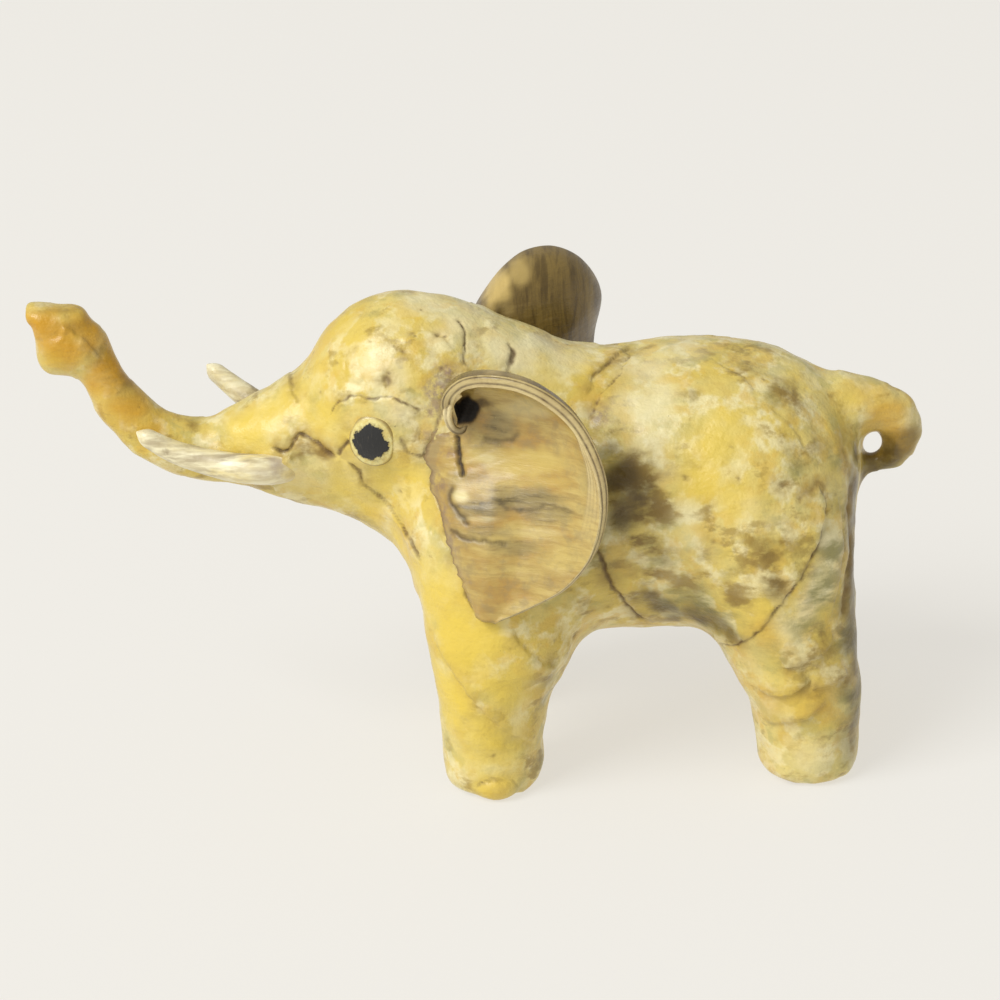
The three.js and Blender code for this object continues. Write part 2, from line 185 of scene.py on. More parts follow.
def mix(a, b, t):
    return a + (b - a) * t


# Noise of about -1 to 1 at each point, with features of the given size in millimetres
def lumps(points, size, seed=0.0):
    shift = Vector((seed * 7.3, seed * 3.1, seed * 5.7))
    return np.array([noise.noise(Vector(p) / size + shift) for p in points])


def lumpVectors(points, size, seed=0.0):
    shift = Vector((seed * 7.3, seed * 3.1, seed * 5.7))
    return np.array([noise.noise_vector(Vector(p) / size + shift) for p in points])


# A smooth line through stations, as count points spread evenly over the stations
def smoothPath(stations, count):
    s = np.asarray(stations, dtype=float)
    s = np.vstack([2 * s[0] - s[1], s, 2 * s[-1] - s[-2]])
    at = np.linspace(0, len(stations) - 1, count)
    k = np.minimum(at.astype(int), len(stations) - 2)
    t = (at - k)[:, None]
    a, b, c, d = s[k], s[k + 1], s[k + 2], s[k + 3]
    bend = 2 * a - 5 * b + 4 * c - d
    return 0.5 * (2 * b + (c - a) * t + bend * t ** 2 + (3 * b - a - 3 * c + d) * t ** 3)


# Helpers for materials
# A socket of a node tree, for plain arithmetic
class Value:
    def __init__(self, tree, socket):
        self.tree = tree
        self.socket = socket

    def work(self, operation, *others, clamp=False):
        node = self.tree.nodes.new("ShaderNodeMath")
        node.operation = operation
        node.use_clamp = clamp
        for slot, other in zip(node.inputs, others):
            if isinstance(other, Value):
                self.tree.links.new(other.socket, slot)
            else:
                slot.default_value = other
        return Value(self.tree, node.outputs[0])

    def __add__(self, other):
        return self.work("ADD", self, other)

    def __radd__(self, other):
        return self.work("ADD", other, self)

    def __sub__(self, other):
        return self.work("SUBTRACT", self, other)

    def __rsub__(self, other):
        return self.work("SUBTRACT", other, self)

    def __mul__(self, other):
        return self.work("MULTIPLY", self, other)

    def __rmul__(self, other):
        return self.work("MULTIPLY", other, self)

    def __truediv__(self, other):
        return self.work("DIVIDE", self, other)

    def __pow__(self, other):
        return self.work("POWER", self, other)

    def clamped(self):
        return self.work("ADD", self, 0.0, clamp=True)

    # 0 below low, 1 above high
    def between(self, low, high):
        return self.work("MULTIPLY", self - low, 1.0 / (high - low), clamp=True)


# A node tree with one way of adding any node
class Tree:
    def __init__(self, nodes):
        self.nodes = nodes

    def add(self, kind, settings=None, sockets=None, output=0):
        node = self.nodes.nodes.new(kind)
        for key, value in (settings or {}).items():
            setattr(node, key, value)
        for key, value in (sockets or {}).items():
            if isinstance(value, Value):
                self.nodes.links.new(value.socket, node.inputs[key])
            else:
                node.inputs[key].default_value = value
        return Value(self.nodes, node.outputs[output])


class Finish(Tree):
    def __init__(self, name):
        self.material = bpy.data.materials.new(name)
        self.material.use_nodes = True
        super().__init__(self.material.node_tree)
        self.nodes.nodes.clear()
        self.place = self.add("ShaderNodeTexCoord", output="Object")

    # Fractal noise with features of the given size in millimetres, stretched by three factors if given
    def grain(self, size, detail=3.0, rough=0.5, seed=0.0, stretch=(1, 1, 1), warp=0.0):
        scale = tuple(1.0 / (size * mm * s) for s in stretch)
        place = self.add("ShaderNodeMapping", {}, {"Vector": self.place, "Scale": scale,
                                                   "Location": (seed * 3.7, seed * 1.9, seed * 2.3)})
        return self.add("ShaderNodeTexNoise", {"noise_dimensions": "3D"},
                        {"Vector": place, "Scale": 1.0, "Detail": detail, "Roughness": rough,
                         "Distortion": warp}, "Fac")

    # Values painted on the mesh, by name
    def painted(self, *names):
        found = [self.add("ShaderNodeAttribute", {"attribute_type": "GEOMETRY", "attribute_name": name},
                          output="Fac") for name in names]
        return found[0] if len(found) == 1 else found

    def blend(self, first, second, factor):
        return self.add("ShaderNodeMix", {"data_type": "RGBA", "clamp_factor": True},
                        {0: factor, 6: first, 7: second}, 2)

    # One paint over another, each with the share of it that shows
    def layered(self, colour, *layers):
        for shade, share in layers:
            colour = self.blend(colour, tint(*shade), share)
        return colour

    # Ends the material. Bumps are in millimetres.
    def finish(self, colour, roughness, height, coat, coatRoughness, depth):
        bump = self.add("ShaderNodeBump", {}, {"Height": height, "Strength": 1.0, "Distance": depth * mm})
        self.close({"Base Color": colour, "Roughness": roughness, "Normal": bump, "Coat Weight": coat,
                    "Coat Roughness": coatRoughness, "Specular IOR Level": 0.4})
        return self.material

    def close(self, sockets):
        shader = self.add("ShaderNodeBsdfPrincipled", {}, sockets)
        out = self.nodes.nodes.new("ShaderNodeOutputMaterial")
        self.nodes.links.new(shader.socket, out.inputs["Surface"])


# A colour given as it looks on screen, 0 to 255
def tint(r, g, b):
    def linear(c):
        c /= 255
        return c / 12.92 if c <= 0.04045 else ((c + 0.055) / 1.055) ** 2.4
    return linear(r), linear(g), linear(b), 1.0


# The moulded form
form = {
    "levels": 2,
    "fineWithin": 1.9,  # mm from a crease inside which the mesh is made finer
    "swell": ((19.0, 0.65), (7.5, 0.5), (3.4, 0.15)),  # mm: size and height of the hand-made unevenness
    "ragged": (2.2, 0.6),  # mm: size and reach of the tears along a crease
    "strips": 170,  # pieces of pasted paper
    "stripStep": 0.22,  # mm: how unevenly they lie
    "stripWarps": ((9.0, 6.0, 3.5), (2.6, 7.0, 0.7)),  # size, seed and reach of their edges' unevenness
    "stripEdge": 1.4,  # mm over which one piece steps up to the next
    "seed": 11,
    "farShare": 0.75,  # how strongly a near crease is repeated on the far side
    "farWander": 2.5,  # mm: how loosely it follows there
    "creaseReach": 9.0,  # mm beyond which a crease does nothing
    "liftReach": 4.5,
    "haloReach": 2.8,
    "toe": {"pixel": (498, 790), "size": (5.6, 6.0, 3.0), "height": 1.8},  # a glossy lump on the foot
    "pitShift": (4.0, 0, 3.0),  # mm by which a far pit stands off its mirrored place
    "washShift": (3.0, 0, -2.0),  # the same for a stain
    "washFarShare": 0.7,
    "washEdge": 1.25,  # share of its reach at which a stain begins to fade
}

# Lines pressed or torn into the paste: depth, width, raise, grime, halo, fade, and the photo's pixels.
# depth, width and raise are millimetres. raise lifts the side to the right of the line's direction, or to
# its left below 0, as an upper layer. fade is the share of the line that wears away here and there.
creaseTable = {
    "mouth": (1.1, 0.5, 0.8, 0.85, 0.9, 0.45, [(266, 446), (274, 449), (283, 451), (291, 448), (295, 440),
        (301, 435), (312, 440), (322, 447), (331, 455), (343, 459)]),
    "cheek_fold": (0.55, 0.6, 0.75, 0.75, 0.3, 0.45, [(343, 459), (357, 469), (364, 484), (377, 496),
        (390, 508), (404, 527), (416, 548), (424, 572)]),
    "lip_corner": (0.6, 0.7, -1.5, 0.4, 0.4, 0.4, [(293, 451), (284, 458), (276, 468), (272, 480),
        (278, 492)]),
    "under_eye": (0.6, 0.6, 0.0, 0.9, 0.7, 0.1, [(337, 455), (343, 448), (350, 440)]),
    "brow": (0.5, 0.45, 0.55, 0.8, 0.12, 0.4, [(326, 421), (334, 407), (347, 398), (360, 395), (372, 399),
        (385, 397), (400, 400), (414, 407), (424, 414)]),
    "brow_low": (0.35, 0.8, -0.3, 0.2, 0.1, 0.5, [(330, 416), (344, 405), (362, 402), (384, 405),
        (402, 412), (416, 424)]),
    "eye_fold": (0.5, 0.6, 0.3, 0.75, 0.5, 0.35, [(398, 435), (405, 444), (408, 452), (417, 455),
        (427, 459)]),
    "temple": (0.35, 0.8, 0.3, 0.35, 0.5, 0.5, [(404, 418), (414, 427), (423, 440), (431, 447)]),
    "ear_paste": (0.6, 0.6, -0.35, 0.8, 0.4, 0.3, [(447, 374), (444, 392), (442, 410), (437, 425),
        (428, 444), (424, 458), (430, 470), (430, 488), (437, 500), (441, 514), (444, 528), (449, 546),
        (456, 566), (465, 590), (473, 608), (481, 623)]),
    "crown_crack": (0.8, 0.45, 0.35, 0.9, 0.3, 0.35, [(458, 318), (464, 333), (464, 350), (466, 364),
        (474, 374)]),
    "neck_crack": (0.7, 0.8, 0.2, 0.75, 0.3, 0.4, [(506, 342), (512, 350), (513, 358), (508, 367),
        (510, 379)]),
    "shoulder_back": (0.5, 0.5, 0.7, 0.5, 0.7, 0.5, [(634, 346), (622, 353), (610, 362), (597, 373),
        (592, 384), (586, 398)]),
    "shoulder_front": (0.6, 0.5, -0.5, 0.65, 0.5, 0.45, [(633, 352), (626, 362), (619, 376), (606, 388),
        (596, 402), (588, 425)]),
    "belly_seam": (1.0, 0.7, -0.7, 1.0, 0.5, 0.15, [(597, 545), (602, 560), (608, 577), (620, 597),
        (633, 613), (648, 624)]),
    "hip_patch_top": (0.3, 0.4, 0.45, 0.5, 0.1, 0.5, [(714, 360), (729, 369), (744, 379), (757, 396)]),
    "hip_patch_back": (0.2, 0.6, 0.35, 0.2, 0.1, 0.6, [(770, 408), (781, 417), (797, 433), (806, 452)]),
    "hip_patch_low": (0.65, 0.5, 0.7, 0.8, 0.25, 0.4, [(812, 480), (824, 497), (825, 515), (818, 545),
        (806, 568), (790, 592), (772, 616), (756, 633), (737, 645), (718, 640), (707, 629)]),
    "thigh_dark": (0.3, 1.2, 0.0, 0.3, 0.9, 0.5, [(797, 503), (806, 493), (818, 484), (826, 492)]),
    "thigh_band": (0.3, 1.1, 0.6, 0.25, 0.2, 0.5, [(835, 492), (842, 520), (843, 555), (838, 590),
        (831, 620)]),
    "hind_wrap_high": (0.35, 0.8, 1.3, 0.2, 0.5, 0.5, [(836, 634), (829, 648), (815, 660), (797, 666),
        (778, 668)]),
    "hind_wrap_mid": (0.35, 0.8, 1.3, 0.25, 0.5, 0.5, [(812, 679), (800, 690), (786, 695), (770, 693),
        (757, 687)]),
    "hind_wrap_side": (0.3, 0.7, 1.2, 0.25, 0.5, 0.5, [(848, 672), (838, 682), (824, 687), (810, 690)]),
    "hind_wrap_low": (0.25, 0.8, 0.9, 0.15, 0.4, 0.5, [(828, 700), (812, 714), (794, 722), (768, 724)]),
    "front_wrap_high": (0.25, 1.2, -1.0, 0.14, 0.3, 0.4, [(434, 632), (446, 660), (460, 684), (478, 705),
        (500, 727), (520, 737), (543, 745)]),
    "front_wrap_low": (0.25, 1.2, 0.8, 0.14, 0.3, 0.4, [(508, 625), (522, 645), (538, 660), (558, 668)]),
    "shin_wrap": (0.1, 1.2, 0.5, 0.05, 0.1, 0.5, [(450, 716), (472, 735), (500, 745), (532, 748)]),
    # rear_cleft's grime and broad halo paint the shade down the hind leg's rear edge
    "rear_cleft": (0.9, 1.4, -0.3, 0.3, 0.9, 0.5, [(851, 480), (849, 505), (853, 540), (850, 570),
        (846, 600), (842, 628)]),
    "tail_fold": (0.4, 1.1, -0.4, 0.3, 0.6, 0.5, [(856, 424), (848, 434), (842, 447), (846, 462),
        (850, 480)]),
    "trunk_ridge": (0.2, 0.9, 0.8, 0.12, 0.6, 0.6, [(60, 326), (72, 331), (82, 338), (93, 349),
        (103, 360)]),
    "lip_gap": (0.7, 1.6, 0.3, 0.12, 0.5, 0.4, [(33, 345), (45, 342), (57, 338), (69, 339), (80, 346)]),
    "trunk_root": (0.3, 1.0, 0.4, 0.4, 0.6, 0.4, [(297, 366), (292, 378), (293, 392), (299, 404)]),
    "toe": (0.4, 0.6, 0.0, 0.5, 0.15, 0.5, [(474, 792), (482, 783), (497, 779), (510, 781), (519, 788),
        (521, 796)]),
    "forehead_patch": (0.2, 0.7, -0.45, 0.15, 0.2, 0.6, [(349, 345), (346, 362), (350, 378), (362, 387)]),
    "forehead_mark": (0.4, 1.0, 0.0, 0.6, 0.5, 0.2, [(383, 376), (388, 382), (384, 389)]),
    "crown_edge": (0.2, 0.6, 0.35, 0.15, 0.1, 0.6, [(395, 340), (412, 331), (432, 333), (446, 342),
        (452, 356)]),
}
creaseKeys = ("depth", "width", "raise", "grime", "halo", "fade", "line")
creases = {name: dict(zip(creaseKeys, sizes)) for name, sizes in creaseTable.items()}

# Small holes and specks: x, y, radius and depth in mm
pits = [(404, 352, 1.1, 0.5), (412, 333, 0.9, 0.4), (414, 337, 0.7, 0.3), (438, 335, 1.0, 0.5),
        (445, 337, 0.7, 0.3), (460, 322, 0.9, 0.5), (421, 309, 0.7, 0.2), (443, 370, 1.0, 0.5),
        (383, 379, 1.2, 0.4), (390, 374, 0.9, 0.3), (739, 479, 0.75, 0.9), (686, 478, 1.3, 0.5),
        (731, 445, 0.6, 0.3), (782, 486, 1.6, 0.3), (714, 541, 1.1, 0.4), (712, 520, 0.8, 0.4),
        (770, 528, 0.5, 0.3), (607, 608, 0.9, 0.4), (575, 637, 0.9, 0.4), (553, 640, 0.7, 0.3),
        (492, 757, 0.8, 0.3), (399, 492, 0.8, 0.2), (448, 617, 0.6, 0.2), (558, 342, 0.8, 0.2),
        (320, 393, 0.6, 0.3), (327, 371, 0.6, 0.2), (765, 380, 0.8, 0.2), (640, 372, 0.7, 0.2)]

# Stains and washes of paint, with painted shade and painted light among them, by the photo's pixels: x, y,
# reach in mm, strength
washes = {
    # Brown stains, and painted shade: the ear's shadow on the body, under the belly and the tail loop, and
    # down the hind leg
    "brownStainAndPaintedShade": [(60, 316, 4, 0.2), (62, 376, 3, 0.5), (690, 585, 6, 0.7), (725, 590, 6, 0.6),
        (650, 600, 5, 0.6), (622, 560, 5, 0.5), (700, 560, 4, 0.5), (745, 575, 5, 0.5), (830, 665, 6, 0.5),
        (815, 700, 5, 0.4), (640, 480, 8, 1.0), (648, 510, 10, 1.0), (640, 540, 8, 0.9), (607, 430, 5, 0.7),
        (760, 372, 6, 0.5), (790, 398, 8, 0.7), (800, 440, 8, 0.7), (783, 485, 3, 0.8), (765, 552, 6, 0.9),
        (782, 540, 6, 0.8), (775, 578, 6, 0.8), (708, 510, 3, 0.5), (690, 395, 4, 0.5), (655, 575, 7, 0.8),
        (712, 540, 4, 0.5), (862, 480, 6, 0.9), (886, 460, 7, 0.9), (430, 355, 3, 0.4), (404, 352, 3, 0.5),
        (383, 379, 3, 0.5), (436, 470, 3, 0.5), (447, 560, 3, 0.4), (585, 612, 6, 0.4), (70, 315, 6, 0.4),
        (100, 350, 5, 0.6), (117, 378, 5, 0.5), (815, 640, 6, 0.6), (820, 690, 6, 0.5), (300, 450, 3, 0.8),
        (312, 448, 3, 0.8), (323, 452, 3, 1.0), (190, 424, 3, 0.5), (570, 590, 7, 0.3), (640, 340, 4, 0.5),
        (610, 345, 5, 0.4), (735, 600, 7, 0.7), (680, 560, 8, 0.4), (850, 690, 5, 0.5)],
    # Painted shade: dark brown where shade falls behind the ear, under the belly and the tail loop, and
    # down the right edges of the legs and the trunk
    "paintedShade": [(622, 480, 6, 1.0), (634, 500, 7, 0.95), (622, 520, 6, 0.8), (612, 450, 4, 0.6),
        (655, 520, 5, 0.4), (668, 606, 6, 0.7), (672, 607, 3.5, 1.0), (688, 610, 3.5, 1.0),
        (690, 612, 7, 0.8), (715, 622, 6, 0.8), (640, 600, 4, 0.5), (885, 465, 6, 1.0), (868, 475, 6, 1.0),
        (905, 452, 5, 0.7), (866, 470, 5, 0.9), (880, 440, 4, 0.6), (853, 520, 4, 0.7), (855, 490, 8, 0.95),
        (854, 515, 8, 0.95), (853, 540, 8, 0.95), (853, 565, 8, 0.95), (853, 590, 8, 0.95),
        (853, 615, 8, 0.9), (854, 640, 8, 0.85), (856, 665, 8, 0.75), (857, 690, 8, 0.7),
        (856, 715, 8, 0.7), (854, 740, 7, 0.6), (873, 467, 6, 1.0), (892, 457, 7, 1.0), (547, 680, 5, 0.5),
        (545, 720, 5, 0.5), (540, 760, 4, 0.4), (908, 440, 5, 0.7), (650, 596, 4, 0.6), (664, 560, 4, 0.5),
        (776, 590, 4, 0.6), (770, 546, 4, 0.6), (856, 455, 4, 0.9), (853, 770, 5, 0.5), (700, 618, 5, 0.9),
        (730, 634, 4, 0.8), (676, 618, 4, 0.8), (638, 616, 4, 0.6), (545, 700, 4, 0.5), (550, 660, 4, 0.4),
        (575, 600, 5, 0.2), (127, 382, 4, 0.4), (738, 640, 4, 0.5), (608, 575, 5, 0.5), (845, 440, 5, 0.4)],
    # Grey-olive paint, and painted shade down the hind leg's rear edge and under the belly
    "greyAndPaintedShade": [(853, 570, 7, 0.9), (853, 640, 7, 0.9), (855, 700, 7, 0.9), (705, 607, 8, 1.0),
        (728, 618, 6, 0.8), (670, 600, 6, 0.8), (620, 350, 5, 0.6), (770, 400, 5, 0.6), (600, 330, 6, 0.25),
        (612, 470, 6, 0.7), (596, 560, 6, 0.8), (851, 540, 7, 0.7), (849, 600, 7, 0.7), (832, 455, 5, 0.6),
        (298, 382, 4, 0.5), (315, 400, 4, 0.4), (745, 345, 7, 0.6), (822, 596, 9, 1.0), (832, 556, 8, 1.0),
        (806, 622, 8, 0.9), (842, 640, 6, 0.7), (775, 652, 7, 0.5), (840, 590, 7, 0.8), (845, 720, 5, 0.6),
        (840, 500, 6, 0.6), (600, 600, 6, 0.4), (800, 470, 5, 0.6), (640, 380, 5, 0.3)],
    # Cream patches, and painted light on the cheek, which faces down
    "creamAndPaintedLight": [(352, 472, 7, 0.35), (325, 462, 6, 0.4), (520, 350, 9, 1.0), (555, 352, 9, 1.0),
        (460, 320, 9, 0.8), (640, 370, 9, 0.9), (640, 410, 9, 1.0), (650, 445, 8, 0.7), (690, 540, 8, 0.5),
        (660, 470, 6, 0.5), (370, 360, 4, 0.7), (400, 330, 5, 0.3), (440, 335, 7, 0.6), (395, 375, 5, 0.7),
        (430, 300, 8, 0.8), (470, 310, 8, 0.7), (500, 345, 8, 0.9), (540, 345, 8, 1.0), (575, 355, 7, 0.7),
        (680, 350, 9, 0.6), (400, 412, 5, 0.8), (385, 402, 4, 0.6), (440, 445, 4, 0.3), (833, 545, 6, 1.0),
        (820, 592, 7, 1.0), (828, 568, 6, 1.0), (808, 612, 6, 1.0), (792, 629, 6, 0.9), (660, 395, 7, 0.8),
        (690, 520, 6, 0.6), (300, 475, 6, 0.5), (320, 480, 5, 0.3), (640, 560, 6, 0.3), (775, 525, 6, 0.4),
        (810, 757, 7, 0.5), (750, 505, 6, 0.4)],
    "ochre": [(60, 345, 9, 1.0), (90, 330, 9, 0.9), (110, 370, 9, 0.9), (130, 410, 9, 0.75),
        (150, 425, 8, 0.5), (40, 325, 8, 0.9), (890, 420, 10, 0.6), (900, 445, 8, 0.6), (870, 395, 8, 0.4),
        (498, 789, 5, 0.3), (770, 640, 8, 0.4), (745, 655, 7, 0.3), (410, 545, 8, 0.3), (380, 520, 7, 0.3),
        (765, 700, 8, 0.4), (820, 700, 7, 0.4), (770, 765, 8, 0.3), (590, 400, 5, 0.4), (350, 425, 5, 0.3)],
    "yellow": [(400, 480, 12, 0.5), (430, 590, 13, 0.9), (460, 640, 13, 1.0), (450, 700, 12, 0.9),
        (490, 740, 13, 0.9), (498, 786, 7, 0.9), (510, 690, 10, 0.7), (250, 430, 11, 0.9),
        (310, 400, 8, 0.6), (480, 640, 10, 0.8), (720, 440, 11, 0.7), (700, 480, 10, 0.7),
        (735, 500, 9, 0.7), (770, 610, 7, 0.5), (800, 380, 8, 0.5), (850, 400, 9, 0.6), (380, 480, 8, 0.7),
        (330, 480, 7, 0.5), (55, 357, 4, 0.8), (400, 545, 10, 0.8), (350, 350, 8, 0.4), (800, 755, 8, 0.5),
        (790, 700, 8, 0.5), (270, 415, 9, 0.9), (290, 395, 8, 0.9), (325, 415, 8, 0.7), (345, 485, 8, 1.0),
        (340, 470, 7, 1.0), (365, 505, 8, 0.8), (345, 440, 5, 0.8), (545, 366, 8, 0.6), (580, 372, 7, 0.5),
        (320, 370, 8, 0.6), (345, 325, 8, 0.6), (405, 310, 9, 0.4), (375, 520, 7, 0.6), (300, 480, 7, 0.6),
        (470, 590, 8, 0.8)],
    "violet": [(437, 392, 4, 1.0), (447, 374, 4, 0.8), (434, 410, 4, 0.9), (600, 415, 3.5, 0.7),
        (428, 436, 3.5, 0.6), (276, 466, 3.5, 0.7)],
}


def coarseForm():
    carrier = addObject("form_carrier", pairedMesh("elephant_form"))
    rounding = carrier.modifiers.new("rounding", "SUBSURF")
    rounding.levels = rounding.render_levels = form["levels"]
    mesh = settled(carrier, "elephant_form_skin")
    bpy.data.objects.remove(carrier)
    return mesh


def treeOf(mesh):
    work = bmesh.new()
    work.from_mesh(mesh)
    tree = BVHTree.FromBMesh(work)
    work.free()
    return tree


formMesh = coarseForm()
formTree = treeOf(formMesh)
print("form rounded", len(formMesh.vertices))


# Where the line of sight through a pixel meets the form, and the surface's slope there
def onForm(px, py):
    place, normal, _, _ = formTree.ray_cast(eyePoint, sightThrough(px, py))
    if place is None:
        return None
    return np.array(place) / mm, np.array(normal)


def nearForm(point):
    place, normal, _, _ = formTree.find_nearest(Vector(point) * mm)
    return np.array(place) / mm, np.array(normal)


# Samples along a crease on the near side, or its mirror image on the far side
def traced(line, far):
    pixels = smoothPath(line, max(12, int(len(line) * 14)))
    found = [onForm(*p) for p in pixels]
    found = [f for f in found if f is not None]
    if far:
        wander = lumpVectors([f[0] for f in found], 30.0, 4.0) * form["farWander"]
        found = [nearForm(f[0] * (1, -1, 1) + w) for f, w in zip(found, wander)]
    places = np.array([f[0] for f in found])
    normals = np.array([f[1] for f in found])
    run = np.gradient(places, axis=0)
    run /= np.linalg.norm(run, axis=1)[:, None] + 1e-9
    across = np.cross(run, normals)
    return places, across * (-1 if far else 1)


tracks = []
for name, crease in creases.items():
    for far in (False, True):
        places, across = traced(crease["line"], far)
        tracks.append((name, crease, places, across, form["farShare"] if far else 1.0))
print("creases traced", len(tracks))


def makeFiner(mesh):
    points = pointsOf(mesh)
    near = np.zeros(len(points), dtype=bool)
    for _, _, places, _, _ in tracks:
        low, high = places.min(0) - form["fineWithin"], places.max(0) + form["fineWithin"]
        some = np.where(((points > low) & (points < high)).all(axis=1) & ~near)[0]
        if len(some):
            gap = np.linalg.norm(points[some, None] - places[None], axis=2).min(axis=1)
            near[some[gap < form["fineWithin"]]] = True
    work = bmesh.new()
    work.from_mesh(mesh)
    work.edges.ensure_lookup_table()
    edges = [e for e in work.edges if near[e.verts[0].index] and near[e.verts[1].index]]
    bmesh.ops.subdivide_edges(work, edges=edges, cuts=1, use_grid_fill=True)
    bmesh.ops.triangulate(work, faces=[f for f in work.faces if len(f.verts) > 4])
    work.to_mesh(mesh)
    work.free()
    return mesh


# Soft-edged spots of one paint, on the near side and more faintly on the far side
def washOver(points, edge, spots):
    total = np.zeros(len(points))
    for px, py, reach, strength in spots:
        found = onForm(px, py)
        if found is None:
            continue
        farCentre = found[0] * (1, -1, 1) + form["washShift"]
        for centre, share in ((found[0], 1.0), (farCentre, form["washFarShare"])):
            gap = np.linalg.norm(points - centre, axis=1) / reach
            total = np.maximum(total, strength * share * np.clip(form["washEdge"] - gap + edge, 0, 1))
    return smoothStep(total)


# Torn pieces of pasted paper: how high each point's piece lies, and its tone
def pastedStrips(points):
    dice = np.random.default_rng(form["seed"])
    seeds = points[dice.integers(0, len(points), form["strips"])]
    high = dice.uniform(-1, 1, form["strips"])
    tone = dice.uniform(-1, 1, form["strips"])
    warped = points
    for size, seed, reach in form["stripWarps"]:
        warped = warped + lumpVectors(points, size, seed) * reach
    gaps = np.linalg.norm((warped[:, None] - seeds[None]) / (1.0, 1.0, 1.35), axis=2)
    order = np.argpartition(gaps, 1, axis=1)[:, :2]
    rows = np.arange(len(points))
    first, second = gaps[rows, order[:, 0]], gaps[rows, order[:, 1]]
    swap = first > second
    order[swap] = order[swap][:, ::-1]
    inner = smoothStep(0.5 + np.abs(second - first) / form["stripEdge"])
    return tuple(mix(values[order[:, 1]], values[order[:, 0]], inner) for values in (high, tone))


def shapeForm(mesh):
    points, normals = pointsOf(mesh), normalsOf(mesh)
    rise = np.zeros(len(points))
    for seed, (size, height) in enumerate(form["swell"]):
        rise += lumps(points, size, seed) * height
    stripHeight, stripTone = pastedStrips(points)
    rise += stripHeight * form["stripStep"]
    size, reach = form["ragged"]
    torn = points + lumpVectors(points, size, 3.0) * reach
    worn = lumps(points, 4.0, 8.0)
    grime = np.zeros(len(points))
    halo = np.zeros(len(points))
    for _, crease, places, across, share in tracks:
        low, high = places.min(0) - form["creaseReach"], places.max(0) + form["creaseReach"]
        some = np.where(((points > low) & (points < high)).all(axis=1))[0]
        if not len(some):
            continue
        gaps = np.linalg.norm(torn[some, None] - places[None], axis=2)
        nearest = gaps.argmin(axis=1)
        gap = gaps[np.arange(len(some)), nearest]
        side = ((torn[some] - places[nearest]) * across[nearest]).sum(axis=1)
        along = nearest / (len(places) - 1)
        ends = smoothStep(along / 0.12) * smoothStep((1 - along) / 0.12)
        wear = 1 - crease["fade"] * smoothStep(0.5 + worn[some] * 2.2)
        groove = np.exp(-(gap / crease["width"]) ** 2)
        lift = abs(crease["raise"]) * np.exp(-(gap / form["liftReach"]) ** 2)
        lift *= smoothStep(0.5 + np.sign(crease["raise"]) * side / 0.9)
        rise[some] += share * ends * (lift - crease["depth"] * wear * groove)
        grime[some] = np.maximum(grime[some], share * crease["grime"] * ends * wear
                                 * np.exp(-(gap / (crease["width"] * (0.55 + 0.4 * wear))) ** 2))
        halo[some] = np.maximum(halo[some], share * crease["halo"] * ends * wear
                                * np.exp(-(gap / form["haloReach"]) ** 2))
    for px, py, radius, depth in pits:
        place = onForm(px, py)[0]
        for centre in (place, nearForm(place * (1, -1, 1) + form["pitShift"])[0]):
            gap = np.linalg.norm(torn - centre, axis=1) / radius
            rise -= depth * np.exp(-gap ** 2)
            grime = np.maximum(grime, 0.55 * np.exp(-(gap / 0.75) ** 2))
            halo = np.maximum(halo, 0.35 * np.exp(-(gap / 1.6) ** 2))
    rise *= smoothStep((points[:, 2] - 0.2) / 2.5)  # the soles stay flat
    toe = form["toe"]
    gap = np.linalg.norm((points - onForm(*toe["pixel"])[0]) / toe["size"], axis=1)
    rise += toe["height"] * np.exp(-gap ** 4)
    moved = points + normals * rise[:, None]
    moved[:, 2] = np.maximum(moved[:, 2], 0.0)
    setPoints(mesh, moved)
    setValues(mesh, "grime", grime)
    setValues(mesh, "halo", halo)
    setValues(mesh, "stripTone", stripTone)
    edge = lumps(points, 5.0, 2.0) * 0.35 + lumps(points, 11.0, 5.0) * 0.3
    for name, spots in washes.items():
        setValues(mesh, name, washOver(points, edge, spots))
    shadeSmooth(mesh)
    return mesh


formMesh = shapeForm(makeFiner(formMesh))
formPiece = addObject("elephant_form_skin", formMesh)
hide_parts("elephant_form")
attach(formPiece, "root")
print("form shaped", trianglesOf(formMesh), "triangles")


